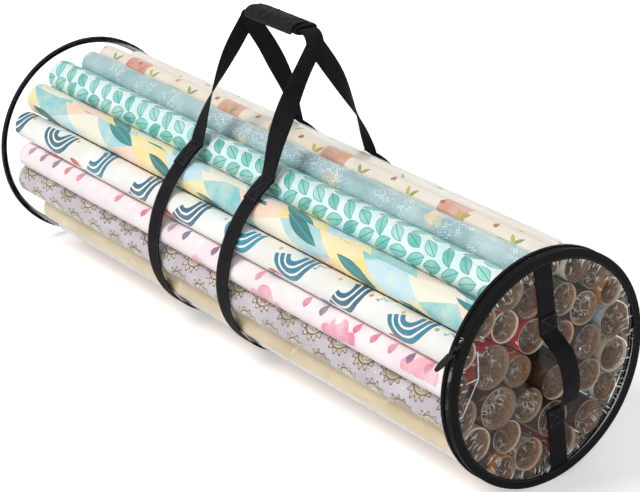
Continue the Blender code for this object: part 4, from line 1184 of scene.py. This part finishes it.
def buildCapWebbing():
    tilt, top, bottom, tab = (capWebbing[key] for key in ("tilt", "top", "bottom", "tab"))
    up = Vector((0, -math.sin(tilt), math.cos(tilt)))
    across = Vector((0, math.cos(tilt), math.sin(tilt)))
    middle = Vector((0, axisY + capWebbing["shift"], axisZ))
    low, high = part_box("cap_strap_upper")
    strapX = (low.x + high.x) / 2
    panelLow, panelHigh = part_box("cap_panel")
    end = (panelHigh.z - panelLow.z) / 2 - capWebbing["room"]
    for name, node, start, stop in (("capStrapUpperWebbing", "cap_strap_upper", end, top),
                                    ("capStrapLowerWebbing", "cap_strap_lower", -bottom, -end)):
        centres = [middle + up * height + Vector((strapX, 0, 0))
                   for height in spread(start, stop, capWebbing["strapSteps"])]
        dress(webbingStrip(name, centres, [across] * len(centres))[0], node, "cap")
    handleLow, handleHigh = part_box("cap_handle")
    tabX = handleLow.x + bag["webbingThickness"] / 2
    outX = handleHigh.x - bag["webbingThickness"] / 2
    bow = [(tabX, top + tab), (tabX, top + tab / 4)]
    bow += [(tabX + (outX - tabX) * out, top - (top + bottom) * down) for down, out in capWebbing["bow"]]
    bow += [(tabX, -bottom - tab / 4), (tabX, -bottom - tab)]
    steps = capWebbing["steps"]
    centres = throughPoints([middle + up * height + Vector((x, 0, 0)) for x, height in bow], steps)
    piece, flats, normals = webbingStrip("capHandleWebbing", centres, [across] * len(centres))
    dress(piece, "cap_handle", "cap")
    lift = boxLift * (1 if normals[2].x > 0 else -1)
    last = len(centres) - 1
    lines = boxStitch(flats, normals, centres, 1, steps + 1, lift)
    lines += boxStitch(flats, normals, centres, last - steps - 1, last - 1, lift)
    sew("capHandleStitches", lines, "cap", "box")


buildBelts()
buildHandles()
buildCapWebbing()

print("grip")

gripLook = {
    "around": 72,
    "along": 54,
    "puff": 1.6 * mm,
    "hem": 9 * mm,  # from each end to the hem's stitches
    "flapSpan": (80, 200),
    "fastenerSpan": (130, 190),
    "fastenerSteps": 18,
    "flapSteps": 48,
    "flapInset": 3 * mm,
    "fastenerInset": 10 * mm,
    "flapThickness": 2.0 * mm,
    "fastenerThickness": 0.8 * mm,
    "flapCorner": 7 * mm,
    "gap": 0.3 * mm,
    "wrinkle": 2.2 * mm,
}


def signedPower(value, power):
    return math.copysign(abs(value) ** power, value)


def gripPoint(x, degrees, offset, a=grip["halfWidth"], b=grip["halfHeight"], power=grip["power"]):
    # On a rounded box round the grip's middle line, moved out by the offset. x is from the grip's middle.
    c, s = math.cos(math.radians(degrees)), math.sin(math.radians(degrees))
    place = Vector((0, signedPower(c, 2 / power) * a, signedPower(s, 2 / power) * b))
    out = Vector((0, signedPower(c, 2 - 2 / power) / a, signedPower(s, 2 - 2 / power) / b))
    return Vector((grip["centre"] + x, axisY, axisZ + grip["height"])) + place + out.normalized() * offset


def inflate(piece, pinned, pressure, frames, most):
    # Fills the closed piece like a pad: pinned points stay, the rest may move by at most most.
    group = piece.vertex_groups.new(name="sewn")
    group.add(pinned, 1.0, "REPLACE")
    cloth = piece.modifiers.new("filling", "CLOTH")
    for key, value in (("vertex_group_mass", "sewn"), ("use_pressure", True), ("uniform_pressure_force", pressure),
                       ("quality", 5), ("tension_stiffness", 15)):
        setattr(cloth.settings, key, value)
    cloth.settings.effector_weights.gravity = 0
    cloth.point_cache.frame_start = 1
    cloth.point_cache.frame_end = frames
    for number in range(1, frames + 1):
        bpy.context.scene.frame_set(number)
    graph = bpy.context.evaluated_depsgraph_get()
    moved = [v.co.copy() for v in piece.evaluated_get(graph).data.vertices]
    piece.modifiers.remove(cloth)
    for vertex, after in zip(piece.data.vertices, moved):
        way = after - vertex.co
        if way.length > most:
            way = way.normalized() * most
        vertex.co = vertex.co + way
    bpy.context.scene.frame_set(1)


def buildGripWrap():
    size, half, hem = gripLook["around"], grip["length"] / 2, gripLook["hem"]
    turns = spread(0, 360, size)
    stations = spread(-half, half, gripLook["along"])
    rows = []
    for x in stations:
        near = half - abs(x)
        drop = 1.0 * mm * (1 - smoothStep(near / (2.5 * mm)))
        drop += 0.5 * mm * math.exp(-((near - hem) / (1.4 * mm)) ** 2)
        rows.append([gripPoint(x, turn, -drop) for turn in turns])
    for x, share in ((half, 0.5), (half - 1 * mm, 1.0), (0, 1.0), (1 * mm - half, 1.0), (-half, 0.5)):
        inner = [gripPoint(x, turn, 0, grip["halfWidth"] - grip["wall"], grip["halfCavity"], 4) for turn in turns]
        outer = [gripPoint(x, turn, -1.0 * mm) for turn in turns]
        rows.append([a.lerp(b, share) for a, b in zip(outer, inner)])
    coords = [[(k * mm, turn * mm) for turn in turns] for k in range(len(rows) + 1)]
    piece = skin("gripWrapPadding", [row[:size] for row in rows], coords, [gripCloth], along=True)
    pinned = []
    for i in range(len(rows)):
        near = half - abs(stations[i]) if i < len(stations) else 0
        if near < 3 * mm or abs(near - hem) < 1.5 * mm:
            pinned += range(i * size, (i + 1) * size)
        else:  # the fastener lies flat on the wrap there
            pinned += [i * size + k for k in range(size) if 75 <= turns[k] <= 205]
    inflate(piece, pinned, 4.0, 20, gripLook["puff"])
    dress(piece, "grip_wrap", "grip")
    sew("gripWrapStitches", [[gripPoint(x, turn, -0.25 * mm) for turn in turns] for x in (hem - half, half - hem)],
        "grip", "grip")
    return piece


def flapCrease(x, turn, fromEnd):  # soft wrinkles of the flap, inside its stitches
    inside = smoothStep((fromEnd - 4 * mm) / (7 * mm)) * smoothStep((gripLook["flapSpan"][1] - 15 - turn) / 18)
    fold = drift(x * 70 + turn * 0.02, turn * 0.045, 2.2)
    return gripLook["wrinkle"] * inside * (abs(fold) + max(drift(x * 150, turn * 0.09, 5.1), 0) / 2)


def gripLayer(name, node, body, part, height, material, corner=0, rows=40, crease=lambda *at: 0.0):
    # A layer that lies on the wrap. height gives how far above it, for each angle.
    start, end = gripLook[part + "Span"]
    steps, thickness = gripLook[part + "Steps"], gripLook[part + "Thickness"]
    half = grip["length"] / 2 - gripLook[part + "Inset"]
    rings, coords = [], []
    for x in spread(-half, half, rows):
        fromEnd = half - abs(x)
        cut = 0.0
        if fromEnd < corner:  # the free edge has round corners
            cut = corner - math.sqrt(max(corner ** 2 - (corner - fromEnd) ** 2, 0))
        line = []
        for turn in spread(start, end, steps):
            share = (turn - start) / (end - start)
            line.append(turn - math.degrees(cut / grip["halfWidth"]) * smoothStep((share - 0.5) * 2))
        thin = 0.7 + 0.3 * smoothStep(fromEnd / (1.2 * mm))
        outline = []
        for k, turn in enumerate(line):
            thick = thickness * thin * (0.75 + 0.25 * smoothStep(min(k, steps - k) / 2))
            outline.append(gripPoint(x, turn, height(turn) + thick + crease(x, turn, fromEnd)))
        outline += [gripPoint(x, turn, height(turn)) for turn in reversed(line)]
        rings.append(outline)
        coords.append([(x, k * mm) for k in range(len(outline) + 1)])
    return dress(skin(name, rings, coords, [material], ends=True), node, body)


def buildFlap():
    gap = gripLook["gap"]
    hookAt = 2 * gap + gripLook["fastenerThickness"]
    flapAt = hookAt + gripLook["fastenerThickness"] + gap
    start, end = gripLook["flapSpan"]

    def rise(turn):
        return gap + (flapAt - gap) * smoothStep((turn - start) / (gripLook["fastenerSpan"][0] - start))

    gripLayer("gripLoopTape", "grip_loop_strip", "grip", "fastener", lambda turn: gap, fuzz)
    gripLayer("gripHookTape", "grip_hook_strip", "flap", "fastener", lambda turn: hookAt, fuzz)
    gripLayer("gripFlapPadding", "grip_flap", "flap", "flap", rise, gripCloth, gripLook["flapCorner"], 72,
                        flapCrease)
    half = grip["length"] / 2 - gripLook["flapInset"] - 3 * mm
    top = gripLook["flapThickness"] + 0.1 * mm
    turns = spread(start + 4, end - 12, 30)
    lines = [[gripPoint(x, turn, rise(turn) + top) for turn in turns] for x in (-half, half)]
    lines.append([gripPoint(x, turns[-1], rise(turns[-1]) + top) for x in spread(-half, half, 30)])
    sew("gripFlapStitches", lines, "flap", "grip")


buildGripWrap()
buildFlap()

for node in ("zipper_slider", "zipper_pull", "zipper_first_stop", "zipper_last_stop"):
    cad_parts[node].data.materials.clear()
    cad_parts[node].data.materials.append(zinc)

print("floor, light and camera")

studio = {
    "lamps": {  # place, size and power
        "key": ((-0.5, -2.2, 3.0), 1.3, 80),
        "fill": ((2.2, -2.1, 1.1), 1.4, 24),
        "back": ((-1.6, 2.0, 2.6), 1.8, 16),
        "spark": ((2.6, 2.3, 0.5), 0.45, 9),  # small and low, for the glints on the cap's folds
    },
    "lampsAim": (0, 0, 0.15),
    "world": 0.25,
    "floor": 9.0,
    "floorLift": 0.42,
    "fade": (0.75, 1.7),  # the floor turns white between these distances, past the bag's shadow
    "lens": {"lens": 124.4, "sensor_width": 36, "shift_x": 0.0489, "shift_y": -0.0153},
    "camera": (2.1724, -1.5989, 1.2614),
    "cameraAim": (-0.016, 0.0086, 0.1477),
}


def seenBy(tree, *rays):
    path = addNode(tree, "ShaderNodeLightPath").node.outputs
    seen = Value(path[rays[0]])
    for ray in rays[1:]:
        seen = seen.math("MAXIMUM", path[ray])
    return seen


def facing(place, aim):
    return (Vector(aim) - Vector(place)).to_track_quat("-Z", "Y").to_euler()


def buildStudio():
    mesh = bpy.data.meshes.new("paleFloor")
    far = studio["floor"]
    mesh.from_pydata([(-far, -far, 0), (far, -far, 0), (far, far, 0), (-far, far, 0)], [], [(0, 1, 2, 3)])
    look = Look("paleFloorPaint", Roughness=0.9, Base_Color=linear("F2F2F2"), Emission_Color=(1, 1, 1, 1))
    away = look.vector("LENGTH", look.place(), out="Value")
    lift = look.remap(away, *studio["fade"], studio["floorLift"], 1.0)
    look.link(seenBy(look.tree, "Is Camera Ray", "Is Glossy Ray") * lift, "Emission Strength")
    mesh.materials.append(look.material)
    addObject("paleFloor", mesh)
    world = bpy.data.worlds.new("studio")
    bpy.context.scene.world = world
    world.use_nodes = True
    tree = world.node_tree
    seen = seenBy(tree, "Is Camera Ray", "Is Glossy Ray", "Is Transmission Ray")
    ground = tree.nodes["Background"].inputs
    ground["Color"].default_value = (1, 1, 1, 1)
    tree.links.new(addNode(tree, "ShaderNodeMapRange", [seen, 0.0, 1.0, studio["world"], 1.0]), ground["Strength"])
    for name, (place, size, power) in studio["lamps"].items():
        lamp = bpy.data.lights.new(name + "Light", "AREA")
        lamp.size = size
        lamp.energy = power
        holder = addObject(name + "Light", lamp)
        holder.location = place
        holder.rotation_euler = facing(place, studio["lampsAim"])


def buildCamera():
    lens = bpy.data.cameras.new("camera")
    for key, value in studio["lens"].items():
        setattr(lens, key, value)
    camera = addObject("camera", lens)
    camera.location = studio["camera"]
    camera.rotation_euler = facing(studio["camera"], studio["cameraAim"])
    bpy.context.scene.camera = camera


buildStudio()
buildCamera()
bpy.context.scene.view_settings.view_transform = "Standard"
